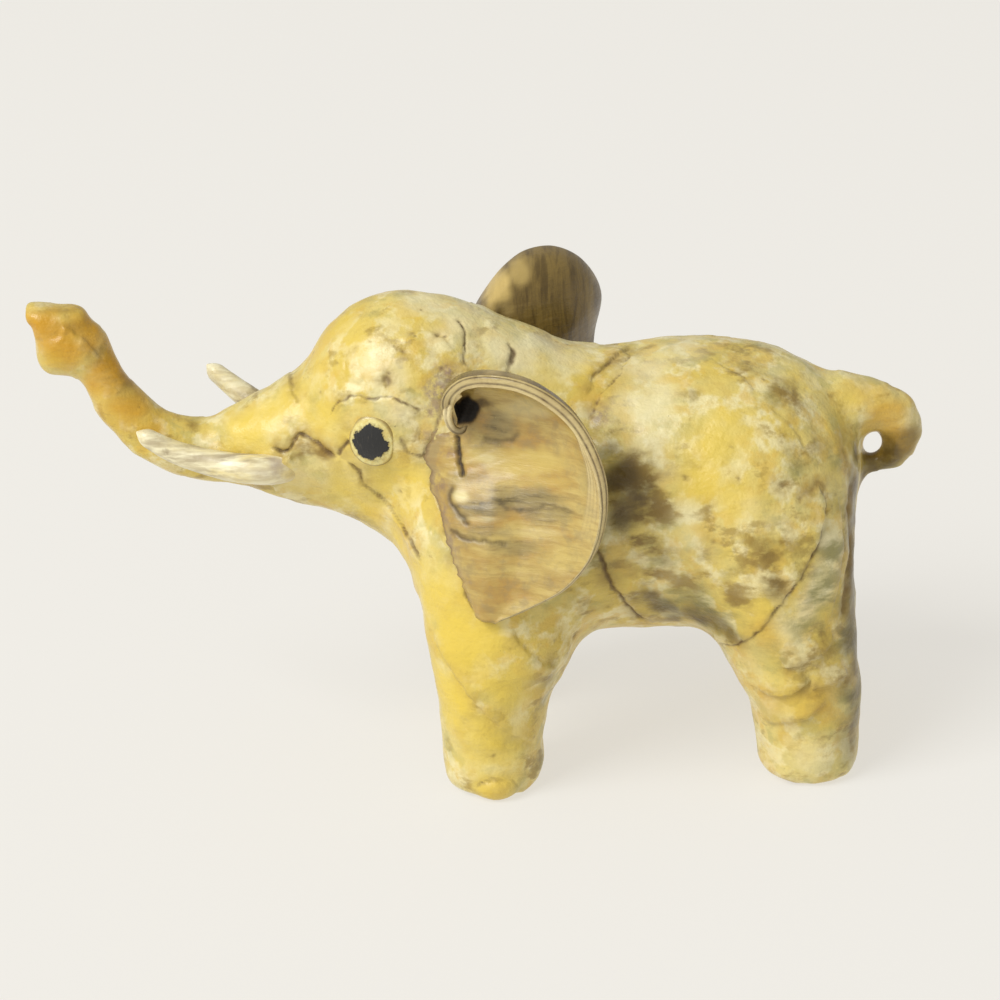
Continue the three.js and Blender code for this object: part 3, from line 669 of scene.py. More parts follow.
def formLacquer():
    f = Finish("form lacquer")
    broad = f.grain(24, 2, 0.5, 1)
    patchy = f.grain(9, 5, 0.6, 2, warp=0.15)
    mottle = f.grain(4.2, 5, 0.62, 3, warp=0.1)
    pale = f.grain(8, 4, 0.54, 21)
    amber = f.grain(6.5, 4, 0.54, 22)
    smear = f.grain(4.5, 5, 0.58, 23, stretch=(1.8, 1.8, 1))
    fine = f.grain(1.7, 3, 0.6, 4)
    brush = f.grain(2.0, 3, 0.6, 5, stretch=(3.5, 3.5, 1.4), warp=0.15)
    tone = f.painted("stripTone")
    creamAndPaintedLight, brownStainAndPaintedShade, greyAndPaintedShade, ochre, yellow = f.painted("creamAndPaintedLight", "brownStainAndPaintedShade", "greyAndPaintedShade", "ochre", "yellow")
    violet, grime, halo, paintedShade = f.painted("violet", "grime", "halo", "paintedShade")
    plain = (1 - yellow * 0.8 - ochre * 0.6).clamped()

    speck = f.grain(0.9, 2, 0.5, 6).between(0.73, 0.8) * f.grain(12, 1, 0.5, 7).between(0.5, 0.66)
    stained = smear.between(0.54, 0.62) * patchy.between(0.4, 0.54)
    dulled = (1 - amber).between(0.54, 0.62) * broad.between(0.42, 0.52)
    colour = f.layered(
        tint(212, 187, 90),
        ((218, 201, 128), (broad + tone * 0.1).between(0.4, 0.62)),
        ((234, 224, 176), pale.between(0.5, 0.58) * 0.65 * plain),
        ((212, 174, 68), amber.between(0.52, 0.6) * 0.5 * plain),
        ((196, 168, 82), mottle.between(0.5, 0.66) * 0.55 * plain),
        ((154, 128, 58), stained * 0.75 * plain),
        ((174, 166, 98), dulled * 0.5 * plain),
        ((222, 193, 68), (yellow * (0.5 + patchy * 0.6)).clamped() * 0.9),
        # cream patches, partly painted light
        ((232, 222, 176), (creamAndPaintedLight * (0.35 + patchy * 0.9)).clamped() * 0.85),
        ((200, 147, 18), (ochre * (0.5 + brush * 0.75)).clamped()),
        # grey-olive paint, partly painted shade
        ((134, 128, 70), (greyAndPaintedShade * brush.between(0.34, 0.6) * 0.85).clamped()),
        # brown stains, partly painted shade
        ((132, 105, 42), (brownStainAndPaintedShade * smear.between(0.4, 0.56) * 0.95).clamped()),
        # painted shade
        ((84, 67, 26), (paintedShade * (0.66 + smear * 0.5)).clamped() * 0.92),
        ((138, 116, 116), (violet * fine.between(0.35, 0.6) * 0.75).clamped()),
        ((156, 122, 50), (halo * (0.2 + fine)).clamped() * 0.85),
        ((92, 72, 40), speck * 0.7),
        ((96, 72, 42), (grime.between(0.1, 0.55) * (0.35 + fine * 0.9)).clamped() * 0.9),
        ((50, 38, 28), (grime.between(0.62, 1.0) * 0.8).clamped()))
    roughness = 0.34 + fine * 0.14 + grime * 0.3 + halo * 0.08
    height = f.grain(1.5, 4, 0.6, 8) * 0.5 + f.grain(5.0, 3, 0.55, 9) + brush * 0.5
    return f.finish(colour, roughness, height, 0.24 - grime * 0.22, 0.16, 0.5)


formMesh.materials.clear()
formMesh.materials.append(formLacquer())
print("form painted")


# The ears
ears = {
    "rows": 210,
    "columns": 90,
    "apron": 22,  # columns of the thin skin that runs from the root on to the head
    "apronEdge": 0.45,  # mm that the skin's torn edge stands out
    "rimSteps": 21,
    "thickness": 2.5,
    "layers": 3,  # sheets of paper that show in the rim
    "layerGroove": 0.32,
    "streakHeight": 0.16,
    "hollow": 3.8,  # how much deeper the dish is under the scroll
    "hollowAt": (0.12, 0.45),  # as shares of the way down and out
    "hollowReach": (0.1, 0.22),
    "ripples": ((14, 0.7), (6, 0.25)),  # mm: size and height
    "headGap": 2.3,  # mm that the middle of the sheet keeps from the head
    "pushPasses": 40,  # how far that push is spread
    "easePasses": 70,  # how smoothly the skin runs into the sheet
    "easeColumns": 22,  # columns of the sheet that this takes in
    "layerEdges": ((0.85, 0.34), (0.89, 0.22), (0.925, 0.3), (0.96, 0.26)),  # share out, and depth
    "layerWidth": 0.007,
}
# Marks on the near ear by the photo's pixels, and mirrored on the far one
earGrooves = [
    {"line": [(457, 437), (458, 450), (460, 462), (462, 474)], "depth": 1.0, "width": 2.0, "dark": 1.2},
    {"line": [(452, 530), (461, 537), (478, 541), (505, 544)], "depth": 0.3, "width": 2.4, "dark": 0.7},
    {"line": [(452, 488), (450, 500), (458, 512), (468, 524)], "depth": 0.35, "width": 2.4, "dark": 0.8},
    {"line": [(500, 504), (520, 511), (543, 507)], "depth": 0.08, "width": 2.2, "dark": 0.5},
    {"line": [(484, 438), (496, 441), (510, 440), (517, 434)], "depth": 0.25, "width": 2.4, "dark": 0.55},
]
# The rim's inner end, rolled up into a hook: photo pixels and the distance out
earHook = {
    "line": [(458, 392, 37.2), (451, 400, 37.8), (448, 411, 38.4), (449, 421, 38.8), (454, 429, 39.1),
             (461, 431, 38.8), (467, 426, 37.4)],
    "thick": (1.6, 0.7),
    "steps": 40,
    "sides": 16,
}
# x, y, half width and half height in pixels, strength
earWashes = {
    "greyAndPaintedShade": [(520, 500, 50, 12, 1.0), (485, 508, 34, 12, 0.9), (500, 428, 17, 16, 1.0),
        (514, 548, 24, 8, 0.7), (555, 512, 34, 12, 0.7), (470, 478, 16, 9, 0.5), (485, 532, 30, 6, 0.5),
        (587, 478, 9, 22, 0.35)],
    "yellow": [(530, 462, 50, 15, 1.0), (478, 455, 16, 10, 0.8), (588, 470, 12, 26, 0.25),
        (495, 541, 18, 6, 0.6), (560, 560, 34, 16, 0.35), (545, 482, 40, 6, 0.6)],
    # Cream flecks; the last spot is painted light on the face under the rim's curl
    "creamAndPaintedLight": [(462, 496, 9, 7, 1.0), (485, 458, 10, 4, 0.5), (480, 519, 22, 3, 0.4),
        (540, 533, 34, 4, 0.25), (528, 410, 26, 12, 0.4)],
    # Painted shade in the hollow under the scroll and under the rim's curl
    "dark": [(464, 411, 16, 14, 1.6), (480, 403, 15, 6, 0.7), (459, 431, 6, 5, 0.8)],
    "violet": [(447, 385, 9, 12, 0.9), (436, 412, 10, 14, 1.0), (448, 452, 10, 14, 0.6),
        (438, 482, 9, 12, 0.7), (443, 428, 9, 10, 0.9), (447, 512, 8, 10, 0.5), (452, 548, 7, 16, 0.5),
        (466, 592, 6, 18, 0.5)],
}
# The rims: x, height and distance out, from the front top round to the lower tip
leftRim = [(-5.9, 105.8, 36), (-6.8, 114.4, 40), (-3.4, 119.7, 43), (2.3, 122.1, 46), (9.8, 122, 48),
           (17.3, 119.4, 50), (24.5, 113.3, 51), (29.2, 105.4, 52), (31.9, 96.2, 52.5), (32, 87.5, 52.5),
           (30.2, 79.1, 52), (26.9, 72.2, 51), (21.8, 66.2, 50), (15.4, 61.6, 48.5), (8, 57.6, 47),
           (2.7, 54.9, 45.5)]
rightRim = [(-3.1, 103.6, 35), (0.1, 111.8, 38.5), (4.3, 117.6, 41.5), (9, 122, 44.5),
            (14.6, 124.8, 47.5), (22.1, 124.8, 49.5), (29.1, 120.2, 50.5), (33.4, 111, 51.5),
            (31.2, 100, 52), (30.2, 90, 52.5), (29.4, 80.5, 52), (26.8, 73, 51), (21.4, 66.8, 50),
            (14.8, 62, 48.5), (7.8, 58, 47), (3, 55.2, 45.5)]
earRoot = [(-3.3, 102.5), (-5.1, 99), (-5.6, 92.4), (-5.4, 84.9), (-5, 77.3), (-3.9, 69.6), (-2.4, 61.8),
           (-0.7, 55.3)]


# The form's surface straight in from the side
def sideOn(side, x, z):
    place, _, _, _ = formTree.ray_cast(Vector((x, side * 90, z)) * mm, Vector((0, -side, 0)))
    return place.y / mm if place else side * 35


earHindPale = [(498, 288, 16, 26, 1.0), (520, 272, 14, 18, 0.6), (590, 300, 5, 30, 0.2)]


# How strongly each pixel lies in a set of soft ellipses
def spotted(pixels, ragged, spots):
    total = np.zeros(len(pixels))
    for x, y, wide, tall, strength in spots:
        gap = np.linalg.norm((pixels - (x, y)) / (wide, tall), axis=1)
        total = np.maximum(total, strength * smoothStep(1.35 - gap + ragged))
    return total


def earMesh(name, side, rim, seed):
    rows, columns, apron = ears["rows"], ears["columns"], ears["apron"]
    s = np.linspace(0, 1, rows)
    t = np.linspace(0, 1, columns)
    rimLine = smoothPath([(x, side * out, z) for x, z, out in rim], rows)
    rootFlat = smoothPath(earRoot, 400)
    rootLine = rootFlat[np.rint(mix(s, s * s, 0.55) * 399).astype(int)]
    root = np.array([(x, sideOn(side, x, z) + side * 1.2, z) for x, z in rootLine])
    turned = 1 - smoothStep((s - 0.35) / 0.45)[:, None]
    reach = mix(t, np.sin(t * math.pi / 2), turned)
    rise = mix(t ** 1.5, 1 - np.cos(t * math.pi / 2) ** 0.9, turned)
    middle = np.stack([mix(root[:, None, 0], rimLine[:, None, 0], reach),
                       mix(root[:, None, 1], rimLine[:, None, 1], rise),
                       mix(root[:, None, 2], rimLine[:, None, 2], reach)], axis=2)
    downShare, outShare = np.meshgrid(s, t, indexing="ij")
    (down, out), (tall, wide) = ears["hollowAt"], ears["hollowReach"]
    deep = np.exp(-((downShare - down) / tall) ** 2 - ((outShare - out) / wide) ** 2)
    middle[:, :, 1] -= side * ears["hollow"] * deep
    # the rippled sheet
    flat = middle.reshape(-1, 3)
    ripple = sum(lumps(flat, size, seed + n) * height for n, (size, height) in enumerate(ears["ripples"]))
    middle[:, :, 1] += side * ripple.reshape(rows, columns) * smoothStep(outShare / 0.3)
    push = np.zeros((rows, columns, 3))
    for i in range(rows):
        for j in range(columns):
            if outShare[i, j] > 0.1:
                place, facing = nearForm(middle[i, j])
                gap = (middle[i, j] - place) @ facing
                push[i, j] = facing * max(ears["headGap"] - gap, 0)
    for _ in range(ears["pushPasses"]):  # spread the push so that the sheet has no fold
        inner = push.copy()
        inner[1:-1] = (push[:-2] + push[2:] + 2 * push[1:-1]) / 4
        inner[:, 1:-1] = (inner[:, :-2] + inner[:, 2:] + 2 * inner[:, 1:-1]) / 4
        push = inner
    middle += push
    alongRows = np.gradient(middle, axis=0)
    alongColumns = np.gradient(middle, axis=1)
    normal = np.cross(alongRows, alongColumns)
    normal /= np.linalg.norm(normal, axis=2)[:, :, None] + 1e-9
    normal *= np.where((normal[:, :, 1] * side).mean() < 0, -1, 1)
    half = np.full((rows, columns), ears["thickness"] / 2)
    half *= (1 - 0.5 * smoothStep((0.02 - downShare) / 0.02)
             - 0.5 * smoothStep((downShare - 0.985) / 0.015))
    half *= 0.85 + 0.15 * smoothStep(outShare / 0.4)
    # streaks that run out from the root, and the edges of the paper's layers by the rim
    streak = np.array([noise.noise(Vector((a * 34 + seed, b * 2.2, seed)))
                       for a, b in zip(downShare.ravel(), outShare.ravel())])
    streak = streak.reshape(rows, columns) * ears["streakHeight"]
    layerLine = np.zeros((rows, columns))
    for at, deep in ears["layerEdges"]:
        wobble = np.array([noise.noise(Vector((a * 9, seed, at * 40))) for a in s])[:, None] * 0.014
        line = np.exp(-((outShare - at - wobble) / ears["layerWidth"]) ** 2) * turned ** 2
        streak -= deep * line
        streak += 0.2 * turned ** 2 * smoothStep((outShare - at - wobble) / 0.01)
        layerLine = np.maximum(layerLine, line)
    front = middle + normal * (half + streak)[:, :, None]
    behind = middle - normal * half[:, :, None]
    # from the root a thin skin runs on to the head, as far as the torn edge
    edgeTrack = next(places for label, _, places, _, share in tracks
                     if label == "ear_paste" and (share < 1) == (side > 0))
    order = edgeTrack[:, 2].argsort()
    skinFront = np.zeros((rows, apron, 3))
    skinBehind = np.zeros((rows, apron, 3))
    for i in range(rows):
        x, _, z = front[i, 0]
        edgeX = min(np.interp(z, edgeTrack[order, 2], edgeTrack[order, 0]), x - 0.8)
        edgeX = mix(x - 0.8, edgeX, smoothStep(s[i] / 0.08))
        edgeX += (noise.noise(Vector((z / 1.6, seed, 0))) * 0.8
                  + noise.noise(Vector((z / 0.6, seed, 3))) * 0.3)
        top = abs(front[i, 0, 1] - sideOn(side, x, z))
        for k in range(apron):
            u = k / apron
            place, facing = nearForm((mix(edgeX, x, u), sideOn(side, mix(edgeX, x, u), z), z))
            lift = mix(ears["apronEdge"], top, smoothStep(u) ** 1.4) if k else -0.3
            lift += noise.noise(Vector(place) / 2.2) * 0.18 * (k > 0)
            skinFront[i, k] = place + facing * lift
            skinBehind[i, k] = place - facing * 0.9
        place, facing = nearForm(behind[i, 0])
        behind[i, 0] = place - facing * 0.8
    # the skin runs into the sheet without a step
    whole = np.concatenate([skinFront, front], axis=1)
    at = np.arange(apron + columns)
    ease = smoothStep((at - 3) / (apron - 3)) * smoothStep((apron + ears["easeColumns"] - at) / 18)
    ease = ease[None, 1:-1, None]
    for _ in range(ears["easePasses"]):
        whole[:, 1:-1] += ease * ((whole[:, :-2] + whole[:, 2:]) / 4 - whole[:, 1:-1] / 2)
    skinFront, front = whole[:, :apron], whole[:, apron:]
    # the rim's rounded edge, with grooves between the layers
    turn = np.linspace(0, math.pi, ears["rimSteps"] + 2)[1:-1]
    outward = alongColumns[:, -1] / (np.linalg.norm(alongColumns[:, -1], axis=1)[:, None] + 1e-9)
    edge = []
    for angle in turn:
        wander = lumps(middle[:, -1], 7, seed + 9) * 0.25
        between = np.abs(np.cos(angle * ears["layers"] + wander)) ** 8
        groove = ears["layerGroove"] * between * math.sin(angle)
        bulge = 0.45 * math.sin(angle) - groove * (0.8 + lumps(middle[:, -1], 5, angle) * 0.5)
        thick = (half + streak * (1 + math.cos(angle)) / 2)[:, -1]
        edge.append(middle[:, -1] + normal[:, -1] * (thick * math.cos(angle))[:, None]
                    + outward * (bulge + lumps(middle[:, -1], 2.5, angle) * 0.14)[:, None])
    loop = np.concatenate([skinFront, front, np.stack(edge, axis=1), behind[:, ::-1], skinBehind[:, ::-1]],
                          axis=1)
    wide = loop.shape[1]
    points = loop.reshape(-1, 3)
    # marks pressed into the face
    mirrored = points * (1, -side, 1)
    pixels = seenAt(mirrored)
    pixelsBehind = seenAt(points * (1, side, 1))
    onFace = np.zeros((rows, wide))
    onFace[:, :apron + columns] = 1
    onFace = onFace.ravel()
    facing = np.zeros((rows, wide, 3))
    facing[:, :apron] = normal[:, :1]
    facing[:, apron:apron + columns] = normal
    marks = np.zeros(len(points))
    torn = pixels + lumpVectors(points, 2.0, seed)[:, :2] * 2.2
    for crease in earGrooves:
        line = smoothPath(crease["line"], 30)
        gap = np.linalg.norm(torn[:, None] - line[None], axis=2).min(axis=1) / crease["width"]
        points = points - facing.reshape(-1, 3) * (crease["depth"] * np.exp(-gap ** 2) * onFace)[:, None]
        marks = np.maximum(marks, crease["dark"] * np.exp(-(gap * 0.85) ** 2) * onFace)
    faces = []
    for i in range(rows - 1):
        for j in range(wide):
            k = (j + 1) % wide
            faces.append((i * wide + j, i * wide + k, (i + 1) * wide + k, (i + 1) * wide + j))
    for i, flip in ((0, False), (rows - 1, True)):
        for j in range(wide // 2 - (wide % 2 == 0)):
            a, b, c, d = (i * wide + n for n in (j, j + 1, wide - 2 - j, wide - 1 - j))
            quad = (a, b, c, d) if b != c else (a, b, d)
            faces.append(quad[::-1] if not flip else quad)
    # the hook at the rim's inner end, set out on the near ear and moved with the rim's start
    line = []
    shift = np.subtract(rim[0], leftRim[0])
    for px, py, out in earHook["line"]:
        along = sightThrough(px, py)
        place = (eyePoint + along * ((-out * mm - eyePoint.y) / along.y)) / mm
        line.append((place.x + shift[0], side * (out + shift[2]), place.z + shift[1]))
    line = smoothPath(line, earHook["steps"])
    ahead = np.gradient(line, axis=0)
    ahead /= np.linalg.norm(ahead, axis=1)[:, None]
    across = np.cross(ahead, (0, 1, 0))
    across /= np.linalg.norm(across, axis=1)[:, None]
    upward = np.cross(across, ahead)
    hook, hookLines, hookShade = [], [], []
    for k, place in enumerate(line):
        share = k / (len(line) - 1)
        for angle in np.linspace(0, 2 * math.pi, earHook["sides"], endpoint=False):
            crease = abs(math.cos(angle * 1.5)) ** 10
            blunt = 1 - 0.7 * smoothStep((share - 0.9) / 0.1)
            thick = mix(*earHook["thick"], share) * blunt - 0.2 * crease
            hook.append(place + (across[k] * math.cos(angle) + upward[k] * math.sin(angle) * 1.3) * thick)
            hookLines.append(crease)
            # painted shade inside the hook, deeper towards its tip
            hookShade.append(0.75 * smoothStep((share - 0.3) / 0.5))
    first, around = len(points), earHook["sides"]
    for k in range(len(line) - 1):
        for j in range(around):
            a, b = first + k * around + j, first + k * around + (j + 1) % around
            faces.append((a, b, b + around, a + around))
    faces.append(tuple(range(first, first + around))[::-1])
    faces.append(tuple(range(first + (len(line) - 1) * around, first + len(line) * around)))
    mesh = meshFrom(name, np.concatenate([points, hook]), faces)
    turnOut(mesh)

    def paint(label, values, onHook=0.0):
        setValues(mesh, label, np.concatenate([values, np.broadcast_to(onHook, len(hook))]))

    def spread(skin, sheet, rim, hind):
        parts = [np.full((rows, apron), skin), sheet, rim + np.zeros((rows, len(turn))),
                 np.full((rows, columns + apron), hind)]
        return np.concatenate(parts, axis=1).ravel()

    paint("rimShare", spread(0.0, outShare, 1.0, 0.5), 1.0)
    paint("turned", spread(0.0, turned + 0 * outShare, 0.8, 0.0), 1.0)
    rimLines = np.abs(np.cos(turn * ears["layers"])) ** 8 * np.sin(turn) ** 0.5
    paint("layerLine", spread(0.0, layerLine, rimLines[None], 0.0), np.array(hookLines))
    outerSheet = smoothStep((outShare - 0.9) / 0.1) * 0.35
    paint("outer", spread(0.0, outerSheet, (0.35 + 0.65 * turn / math.pi)[None], 1.0), 0.2)
    paint("face", spread(1.0, np.ones_like(outShare), 1.0, 0.0), 1.0)
    skinShare = np.zeros((rows, wide))
    skinShare[:, :apron] = 1 - np.arange(apron) / apron
    paint("skin", skinShare.ravel())
    paint("marks", marks)
    ragged = lumps(points, 3.0, seed + 4) * 0.35 + lumps(points, 9.0, seed + 5) * 0.25
    for label, spots in earWashes.items():
        onHook = np.array(hookShade) if label == "dark" else 0.0
        paint(label, spotted(pixels, ragged, spots) * onFace, onHook)
    paint("hindPale", spotted(pixelsBehind, ragged, earHindPale) * (1 - onFace))
    return mesh


def earLacquer(name):
    f = Finish(name)
    streaks = f.grain(1.5, 4, 0.6, 11, stretch=(6, 6, 1), warp=0.15)
    upright = f.grain(1.8, 4, 0.65, 16, stretch=(1, 8, 7), warp=0.35)
    soft = f.grain(8, 3, 0.6, 12, stretch=(2.0, 2, 1))
    mottle = f.grain(3.6, 5, 0.6, 14, warp=0.1)
    fine = f.grain(1.3, 3, 0.6, 13)
    rimShare, face, turned, skin = f.painted("rimShare", "face", "turned", "skin")
    greyAndPaintedShade, yellow, creamAndPaintedLight, dark, violet = f.painted("greyAndPaintedShade", "yellow", "creamAndPaintedLight", "dark", "violet")
    marks, layerLine, outer, hindPale = f.painted("marks", "layerLine", "outer", "hindPale")

    band = rimShare.between(0.84, 0.86) * turned * turned
    rusty = (1 - soft).between(0.5, 0.62) * mottle.between(0.4, 0.55)
    scratched = greyAndPaintedShade * streaks.between(0.52, 0.7) * mottle.between(0.4, 0.52)
    glint = f.grain(0.7, 1, 0.5, 15).between(0.74, 0.8) * greyAndPaintedShade
    hind = f.layered(tint(126, 104, 50), ((94, 75, 32), upright.between(0.42, 0.62)),
                     ((214, 186, 112), hindPale * (0.5 + upright * 0.6)))
    colour = f.layered(
        tint(178, 147, 76),
        ((194, 170, 98), soft.between(0.42, 0.58)),
        ((178, 136, 62), rusty * 0.6),
        ((164, 134, 70), streaks.between(0.46, 0.62) * 0.6),
        ((150, 130, 84), mottle.between(0.5, 0.64) * 0.5),
        ((206, 182, 98), (yellow * (0.3 + mottle * 0.9)).clamped() * 0.9),
        ((150, 133, 84), (greyAndPaintedShade * (0.6 + mottle * 0.6)).clamped()),
        ((134, 116, 66), (greyAndPaintedShade * streaks.between(0.36, 0.64)).clamped() * 0.8),
        ((96, 82, 44), scratched.clamped()),
        ((228, 214, 156), creamAndPaintedLight * 0.85),
        ((242, 226, 174), band * (0.6 + mottle * 0.5)),
        ((190, 164, 104), band * mottle.between(0.5, 0.6) * 0.6),
        ((158, 136, 80), (band * outer.between(0.3, 0.8) * (0.5 + mottle)).clamped() * 0.9),
        ((84, 64, 36), (layerLine * (mottle * 1.2 + fine * 0.9 - 0.1)).clamped() * 0.9),
        ((150, 128, 86), skin * mottle.between(0.34, 0.54) * 0.8),
        ((128, 104, 96), (violet * mottle.between(0.42, 0.58) * 0.65).clamped()),
        ((96, 72, 50), (skin.between(0.82, 1.0) * (0.3 + fine)).clamped() * 0.85),
        # painted shade in the hollow under the scroll and inside the hook
        ((104, 78, 38), (dark * (0.5 + mottle)).clamped() * 0.9),
        ((26, 20, 12), (dark * (0.9 + mottle * 0.9) - 0.6).clamped()),
        ((52, 40, 28), (marks * (0.55 + fine * 0.8)).clamped() * 0.95))
    colour = f.blend(colour, hind, 1 - face)
    colour = f.blend(colour, tint(240, 226, 150), glint * 0.9)
    # the painted shade of the hollow also makes it rougher and less glossy
    hollowShade = dark.clamped()
    roughness = 0.32 + fine * 0.16 + marks * 0.3 + hollowShade * 0.4
    relief = streaks + mottle * 0.5 + fine * 0.3 + glint
    return f.finish(colour, roughness, relief, (0.32 - marks * 0.25 - hollowShade * 0.3).clamped(), 0.2, 0.3)


for name, side, rim, seed in (("left_ear", -1, leftRim, 21.0), ("right_ear", 1, rightRim, 33.0)):
    mesh = earMesh(name + "_sheet", side, rim, seed)
    mesh.materials.append(earLacquer(name + " lacquer"))
    piece = addObject(name + "_sheet", mesh)
    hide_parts(name)
    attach(piece, "root")
    print(name, "made", trianglesOf(mesh), "triangles")


# The tusks
tusks = {
    "rootRadius": 4.4,
    "tipRadius": 2.3,
    "steps": 90,
    "sides": 28,
    "wobble": 0.35,
    "left": [(-43, 2, 88), (-48.5, 8.2, 87.9), (-53.2, 13.2, 88), (-59.5, 14.8, 88.6), (-68.5, 12.6, 89.4),
             (-80.5, 10.4, 92.8), (-90.5, 9.2, 98.5)],
    "right": [(-35.5, 4, 84.5), (-39.7, 9.5, 85.8), (-44, 14.2, 87), (-50.5, 17.5, 88.8), (-59.5, 21, 92.8),
              (-67.5, 24.5, 98), (-74.5, 27.5, 103.5)],
}


# A tree that sweeps a tapering round section along a curve
def taperTree():
    group = bpy.data.node_groups.new("tapered tusk", "GeometryNodeTree")
    face = group.interface
    face.new_socket("Line", in_out="INPUT", socket_type="NodeSocketGeometry")
    for label in ("Root radius", "Tip radius", "Wobble"):
        face.new_socket(label, in_out="INPUT", socket_type="NodeSocketFloat")
    for label in ("Steps", "Sides"):
        face.new_socket(label, in_out="INPUT", socket_type="NodeSocketInt")
    face.new_socket("Finish", in_out="INPUT", socket_type="NodeSocketMaterial")
    face.new_socket("Tusk", in_out="OUTPUT", socket_type="NodeSocketGeometry")
    t = Tree(group)
    given = group.nodes.new("NodeGroupInput")
    got = {s.name: Value(group, s) for s in given.outputs}
    share = t.add("GeometryNodeSplineParameter", output="Factor")
    taper = got["Root radius"] + (got["Tip radius"] - got["Root radius"]) * share ** 2.0
    blunt = 1 - share.between(0.93, 1.0) ** 2.2 * 0.9
    line = t.add("GeometryNodeResampleCurve", {}, {"Curve": got["Line"], "Count": got["Steps"]})
    ring = t.add("GeometryNodeCurvePrimitiveCircle", {}, {"Resolution": got["Sides"], "Radius": 1.0})
    skin = t.add("GeometryNodeCurveToMesh", {}, {"Curve": line, "Profile Curve": ring,
                                                 "Scale": taper * blunt, "Fill Caps": True})
    grain = t.add("ShaderNodeTexNoise", {"noise_dimensions": "3D"}, {"Scale": 160.0, "Detail": 2.0}, "Fac")
    push = t.add("ShaderNodeVectorMath", {"operation": "SCALE"},
                 {0: t.add("GeometryNodeInputNormal"), "Scale": (grain - 0.5) * got["Wobble"]})
    skin = t.add("GeometryNodeSetPosition", {}, {"Geometry": skin, "Offset": push})
    skin = t.add("GeometryNodeRealizeInstances", {}, {"Geometry": skin})
    skin = t.add("GeometryNodeSetMaterial", {}, {"Geometry": skin, "Material": got["Finish"]})
    out = group.nodes.new("NodeGroupOutput")
    group.links.new(skin.socket, out.inputs["Tusk"])
    return group


# A curve object through points in millimetres
def curveObject(name, points):
    data = bpy.data.curves.new(name, "CURVE")
    data.dimensions = "3D"
    spline = data.splines.new("POLY")
    spline.points.add(len(points) - 1)
    for point, place in zip(spline.points, points):
        point.co = (*(np.asarray(place) * mm), 1.0)
    return addObject(name, data)


# Runs a Geometry Nodes tree on an object with named inputs, and returns the plain mesh
def grown(carrier, group, values, name):
    modifier = carrier.modifiers.new("grow", "NODES")
    modifier.node_group = group
    keys = {item.name: item.identifier for item in group.interface.items_tree
            if item.item_type == "SOCKET" and item.in_out == "INPUT"}
    for label, value in values.items():
        modifier[keys[label]] = value
    mesh = settled(carrier, name)
    bpy.data.objects.remove(carrier)
    return mesh


# Marks on the near tusk by the photo's pixels, and mirrored on the far one
tuskWashes = {
    "greyAndPaintedShade": [(240, 457, 34, 7, 1.0), (190, 458, 30, 6, 0.8), (155, 444, 14, 6, 0.7),
        (215, 472, 30, 5, 0.6)],
    # Brown marks; the spot at the root is painted shade in the notch the tusk comes out of
    "brownStainAndPaintedShade": [(264, 449, 14, 3, 1.0), (146, 450, 8, 3, 0.8), (166, 452, 4, 3, 0.9),
        (240, 448, 24, 2.5, 0.8), (190, 446, 24, 2.5, 0.6)],
    "violet": [(276, 466, 8, 12, 1.0), (262, 474, 10, 6, 0.6)],
}


def tuskLacquer():
    f = Finish("tusk lacquer")
    streaks = f.grain(1.5, 4, 0.55, 31, stretch=(8, 1.3, 1.0), warp=0.1)
    soft = f.grain(6, 3, 0.6, 32, stretch=(2.5, 1, 1))
    fine = f.grain(1.2, 3, 0.6, 33)
    greyAndPaintedShade, brownStainAndPaintedShade, violet = f.painted("greyAndPaintedShade", "brownStainAndPaintedShade", "violet")
    colour = f.layered(
        tint(238, 229, 190),
        ((228, 209, 142), soft.between(0.44, 0.58) * 0.8),
        ((204, 188, 144), streaks.between(0.46, 0.6) * 0.6),
        ((158, 142, 112), (greyAndPaintedShade * streaks.between(0.4, 0.6)).clamped() * 0.8),
        ((112, 90, 58), (brownStainAndPaintedShade * (0.3 + fine * 0.9)).clamped() * 0.85),
        ((162, 144, 134), (violet * (0.3 + fine)).clamped() * 0.7))
    roughness = 0.3 + fine * 0.15
    return f.finish(colour, roughness, streaks + fine * 0.5, 0.4, 0.2, 0.25)


tuskTree = taperTree()
tuskFinish = tuskLacquer()
for name, side in (("left_tusk", -1), ("right_tusk", 1)):
    stations = [(x, side * out, z) for x, out, z in tusks[name.split("_")[0]]]
    carrier = curveObject(name + "_line", smoothPath(stations, 60))
    mesh = grown(carrier, tuskTree, {"Root radius": tusks["rootRadius"] * mm,
                                     "Tip radius": tusks["tipRadius"] * mm,
                                     "Wobble": tusks["wobble"] * mm, "Steps": tusks["steps"],
                                     "Sides": tusks["sides"], "Finish": tuskFinish}, name + "_ivory")
    shadeSmooth(mesh)
    points = pointsOf(mesh)
    pixels = seenAt(points * (1, -side, 1))
    ragged = lumps(points, 2.5, side) * 0.3
    for label, spots in tuskWashes.items():
        setValues(mesh, label, spotted(pixels, ragged, spots))
    piece = addObject(name + "_ivory", mesh)
    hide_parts(name)
    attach(piece, "root")
    print(name, "made", trianglesOf(mesh), "triangles")


# The eyes
eyes = {
    "pixel": (372, 442),
    "width": 12.4,
    "height": 15.2,
    "rings": 30,
    "sides": 72,
    "stand": 0.55,  # how far the rim stands out
    "dome": 0.9,
    "pupil": (4.3, 5.0),  # mm: half width and half height of the black paint
    "outline": (6.2, 7.6),  # and of the disc's darker edge
}


